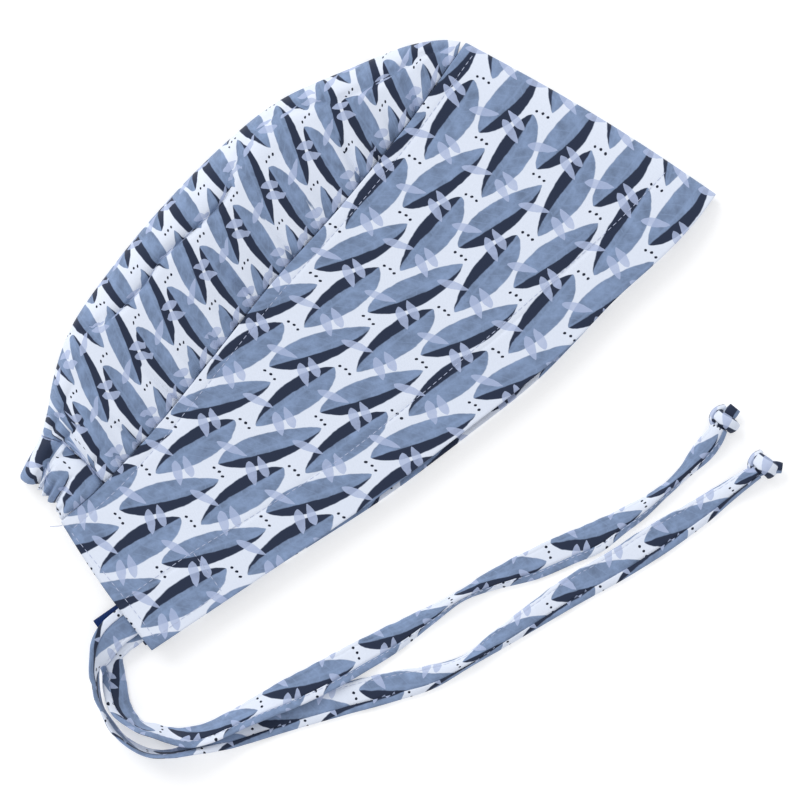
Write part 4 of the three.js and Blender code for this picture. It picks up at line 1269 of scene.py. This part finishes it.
def add_knot(context, name, side, node):
    """An overhand knot: the tie through it with its short end, the turn over it, the loop beside it."""
    mesh = cloth_mesh()
    for part, rows in KNOT_TUBES[side].items():
        route = smooth_route(points_of(rows, "xyz"), 8)
        width, thick = columns_along(rows, ("width", "thick"), np.linspace(0, len(rows) - 1, len(route)))
        ahead = unit(np.gradient(route, axis=0))
        faces = route - (route * (1, 0, 0) + (0, 0, KNOT_HUBS[part]))
        faces = unit(faces - ahead * np.sum(faces * ahead, axis=1, keepdims=True))
        rings = tube_rings(route, np.cross(faces, ahead), faces, width, thick, arch=KNOT_ARCH)
        rings = rings + np.array((KNOTS[side]["x"], KNOTS[side]["y"], 0))
        rings[..., 2] = np.maximum(rings[..., 2], KNOT_FLOOR)
        u, v = KNOT_PRINTS[part]
        add_tube(mesh, rings, walked(route) + u, round_places(ROUND, KNOT_CLOTH) + v)
    return finish_piece(name, mesh, [printed_cotton(context)], COTTON, node)


# Operators

class SCRUBCAP_OT_stage(bpy.types.Operator):
    """Make the camera straight above the cap, the pale floor and the soft light"""

    bl_idname = "scrubcap.stage"
    bl_label = "Stage"

    def execute(self, context):
        scene = context.scene
        middle = Vector((CAMERA["x"], CAMERA["y"], 0))
        camera = bpy.data.objects.new("camera", bpy.data.cameras.new("camera"))
        camera.data.lens = CAMERA["lens"] / MM
        camera.data.sensor_width = CAMERA["sensor"] / MM
        away = CAMERA["wide"] * CAMERA["lens"] / CAMERA["sensor"]
        camera.location = middle + Vector((0, 0, away))
        camera.rotation_euler = Euler((0, 0, math.radians(CAMERA["turn"])))
        scene.collection.objects.link(camera)
        scene.camera = camera
        self.add_light(scene, middle)
        mesh = bmesh.new()
        bmesh.ops.create_grid(mesh, x_segments=1, y_segments=1, size=FLOOR["half"])
        bmesh.ops.translate(mesh, verts=mesh.verts[:], vec=(0, 0, -FLOOR["below"]))
        data = bpy.data.meshes.new("floor")
        mesh.to_mesh(data)
        mesh.free()
        floor = bpy.data.objects.new("floor", data)
        scene.collection.objects.link(floor)
        data.materials.append(backdrop_paper_with_painted_glow())
        scene.world = bpy.data.worlds.new("studio")
        scene.world.use_nodes = True
        sky = scene.world.node_tree.nodes["Background"]
        set_inputs(scene.world.node_tree, sky, {"Color": linear(SKY["colour"]), "Strength": SKY["strength"]})
        scene.view_settings.view_transform = "Standard"
        return {"FINISHED"}

    def add_light(self, scene, middle):
        """The large soft window light from the picture's upper left, as even as a sun."""
        data = bpy.data.lights.new("window_light", "SUN")
        data.angle = math.radians(LIGHT["angle"])
        data.energy = LIGHT["energy"]
        turn = math.radians(CAMERA["turn"])
        right = Vector((math.cos(turn), math.sin(turn), 0))
        up = Vector((-math.sin(turn), math.cos(turn), 0))
        light = bpy.data.objects.new("window_light", data)
        light.location = middle - right * LIGHT["left"] + up * LIGHT["up"] + Vector((0, 0, LIGHT["high"]))
        light.rotation_euler = (light.location - middle).to_track_quat("Z", "Y").to_euler()
        scene.collection.objects.link(light)


class SCRUBCAP_OT_ties(bpy.types.Operator):
    """Make both ties with their knots"""

    bl_idname = "scrubcap.ties"
    bl_label = "Ties"

    def execute(self, context):
        for seed, (side, rows, _) in enumerate(TIES, start=1):
            knot = add_knot(context, "knotted_end_" + side, side, "knot_" + side)
            add_tie(context, "sewn_tie_" + side, rows, seed, "tie_" + side)
        return {"FINISHED"}


class SCRUBCAP_OT_band(bpy.types.Operator):
    """Make the folded band with its hem"""

    bl_idname = "scrubcap.band"
    bl_label = "Band"

    def execute(self, context):
        points, flat = band_surface()
        band = add_cloth("brow_band", points, lean_print(flat, BAND_LEAN), "band", context)
        self.hem_end(context)
        return {"FINISHED"}

    def hem_end(self, context):
        """The folded end of the far side's hem, which stands out beside the ties."""
        route = smooth_route(HEM_END, 6)
        size = len(route)
        width, thick = HEM_END_SIZE["width"], HEM_END_SIZE["thick"]
        asides, faces = np.tile((0.0, -1.0, 0.0), (size, 1)), np.tile((0.0, 0.0, 1.0), (size, 1))
        mesh = cloth_mesh()
        rings = tube_rings(route, asides, faces, np.full(size, width), np.full(size, thick))
        u, v = KNOT_PRINTS["through"]
        along = np.linspace(*HEM_END_SIZE["u"], size)
        add_tube(mesh, rings, along + u, round_places(ROUND, width) + v)
        finish_piece("hem_end", mesh, [printed_cotton(context)], COTTON)


class SCRUBCAP_OT_crown(bpy.types.Operator):
    """Make the gathered crown"""

    bl_idname = "scrubcap.crown"
    bl_label = "Crown"

    def execute(self, context):
        points, flat = crown_surface()
        crown = add_cloth("gathered_crown", points, flat, "crown", context)
        return {"FINISHED"}


class SCRUBCAP_OT_casing(bpy.types.Operator):
    """Make the pleated casing at the nape"""

    bl_idname = "scrubcap.casing"
    bl_label = "Casing"

    def execute(self, context):
        points, flat = casing_surface()
        casing = add_cloth("nape_casing", points, flat, "elastic_casing", context)
        return {"FINISHED"}


class SCRUBCAP_OT_tab(bpy.types.Operator):
    """Make the plain ribbon tab"""

    bl_idname = "scrubcap.tab"
    bl_label = "Tab"

    def execute(self, context):
        mesh = cloth_mesh()
        share = np.linspace(0, 1, 33)
        x = (0.5 - share) * TAB["length"]
        centres = np.stack([x, 0 * x, TAB["wave"] * np.cos(share * TAB["waves"])], axis=-1)
        turned = np.array(Matrix.Rotation(math.radians(TAB["turn"]), 3, "Z"))
        asides = np.tile((0.0, -1.0, 0.0), (len(x), 1))
        faces = np.tile((0.0, 0.0, 1.0), (len(x), 1))
        thick = TAB["thick"] + TAB["thick_end"] * np.exp(-((share - 1) / TAB["end"]) ** 2)
        rings = tube_rings(centres, asides, faces, np.full(len(x), TAB["width"]), thick)
        rings = rings @ turned.T + np.array((TAB["x"], TAB["y"], TAB["z"]))
        add_tube(mesh, rings, x, round_places(ROUND, TAB["width"]))
        tab = finish_piece("ribbon_tab", mesh, [navy_ribbon(context)], SATIN, "side_tab")
        return {"FINISHED"}


class SCRUBCAP_OT_stitches(bpy.types.Operator):
    """Sew the lines of stitches on the cap and along the ties, and leave one loose thread"""

    bl_idname = "scrubcap.stitches"
    bl_label = "Stitches"

    def execute(self, context):
        spacing = context.scene.scrub_cap_sizes.stitch
        trees = [self.surface(name) for name in ("brow_band", "gathered_crown", "nape_casing")]
        for name, line in STITCH_LINES.items():
            points = smooth_route(line, 10) if name != "box_stitch" else np.array(line)
            size = int(walked(points)[-1] / spacing)
            ends = at_shares(points, (np.arange(size)[:, None] + CAP_STITCH) / size)
            self.sew(context, name, [self.on_cloth(trees, a, b) for a, b in ends])
        for seed, (side, rows, across) in enumerate(TIES, start=1):
            steps, rings = tie_rings(rows, context.scene.scrub_cap_sizes.tie, seed)
            cross, _ = tie_section()
            groove = int(np.argmin(np.abs(cross - across)))
            line = rings[:, groove]
            face = unit(line - rings[:, -groove])
            pairs = []
            for k in range(FIRST_TIE_STITCH, int(steps[-1] / spacing) - 1):
                a, b = (int(np.argmin(np.abs(steps - (k + share) * spacing))) for share in TIE_STITCH)
                pairs.append((Vector(line[a]) + RIM_END, Vector(line[b]) + RIM_END, Vector(face[a])))
            self.sew(context, "tie_stitch_" + side, pairs)
        self.loose_thread(context)
        return {"FINISHED"}

    def surface(self, name):
        """A piece's outer cloth, for laying stitches on it."""
        data = bpy.data.objects[name].data
        return BVHTree.FromPolygons([v.co for v in data.vertices], [p.vertices for p in data.polygons])

    def on_cloth(self, trees, start, end):
        """Both ends of a stitch on the topmost cloth below them, and the cloth's normal there."""
        spots = []
        for place in (start, end):
            above = Vector((place[0], place[1], 0.1)) + RIM_END
            hits = [tree.ray_cast(above, Vector((0, 0, -1))) for tree in trees]
            hits = [hit for hit in hits if hit[0] is not None]
            if not hits:
                raise RuntimeError("no cloth under a stitch at %s" % (place,))
            spots.append(max(hits, key=lambda hit: hit[0].z))
        return spots[0][0], spots[1][0], spots[0][1]

    def sew(self, context, name, stitches):
        """Stitches as small rounded lengths of thread, each sunk at both ends."""
        mesh = bmesh.new()
        thick = THREAD["thick"]
        for start, end, face in stitches:
            way = end - start
            axes = Matrix((way.normalized(), face.cross(way).normalized(), face.normalized())).transposed()
            turn = Matrix.LocRotScale((start + end) / 2 + face * THREAD["proud"], axes.to_quaternion(),
                                      Vector((way.length / 2, thick / 2, thick * THREAD["flat"])))
            bmesh.ops.create_uvsphere(mesh, u_segments=8, v_segments=6, radius=1.0, matrix=turn)
        for face in mesh.faces:
            face.smooth = True
        finish_piece(name, mesh, [sewing_thread(context)], COTTON)

    def loose_thread(self, context):
        """A short end of thread left at the nape."""
        route = smooth_route(LOOSE_THREAD, 8)
        ahead = np.gradient(route, axis=0)
        left = unit(np.cross((0, 0, 1), ahead))
        lift = unit(np.cross(ahead, left))
        mesh = bmesh.new()
        thick = np.full(len(route), THREAD["loose"])
        add_tube(mesh, tube_rings(route, left, lift, thick, thick), np.arange(len(route)) * MM,
                 round_places(ROUND, MM))
        finish_piece("loose_thread", mesh, [sewing_thread(context)], COTTON)


class SCRUBCAP_PT_panel(bpy.types.Panel):
    """Sizes, colours and steps of the scrub cap"""

    bl_label = "Scrub cap"
    bl_idname = "SCRUBCAP_PT_panel"
    bl_space_type = "VIEW_3D"
    bl_region_type = "UI"
    bl_category = "Scrub cap"

    def draw(self, context):
        for group in (context.scene.scrub_cap_sizes, context.scene.scrub_cap_colours):
            for name in group.__annotations__:
                self.layout.prop(group, name)
        for step in STEPS:
            self.layout.operator(step.bl_idname)


STEPS = (SCRUBCAP_OT_stage, SCRUBCAP_OT_ties, SCRUBCAP_OT_band, SCRUBCAP_OT_crown, SCRUBCAP_OT_casing,
         SCRUBCAP_OT_tab, SCRUBCAP_OT_stitches)
CLASSES = (ScrubCapSizes, ScrubCapColours, *STEPS, SCRUBCAP_PT_panel)


def register():
    for part in CLASSES:
        bpy.utils.register_class(part)
    bpy.types.Scene.scrub_cap_sizes = PointerProperty(type=ScrubCapSizes)
    bpy.types.Scene.scrub_cap_colours = PointerProperty(type=ScrubCapColours)


def unregister():
    del bpy.types.Scene.scrub_cap_colours
    del bpy.types.Scene.scrub_cap_sizes
    for part in reversed(CLASSES):
        bpy.utils.unregister_class(part)


def main():
    register()
    bpy.ops.scrubcap.stage()
    bpy.ops.scrubcap.ties()
    bpy.ops.scrubcap.band()
    bpy.ops.scrubcap.crown()
    bpy.ops.scrubcap.casing()
    bpy.ops.scrubcap.tab()
    bpy.ops.scrubcap.stitches()


if __name__ == "__main__":
    main()
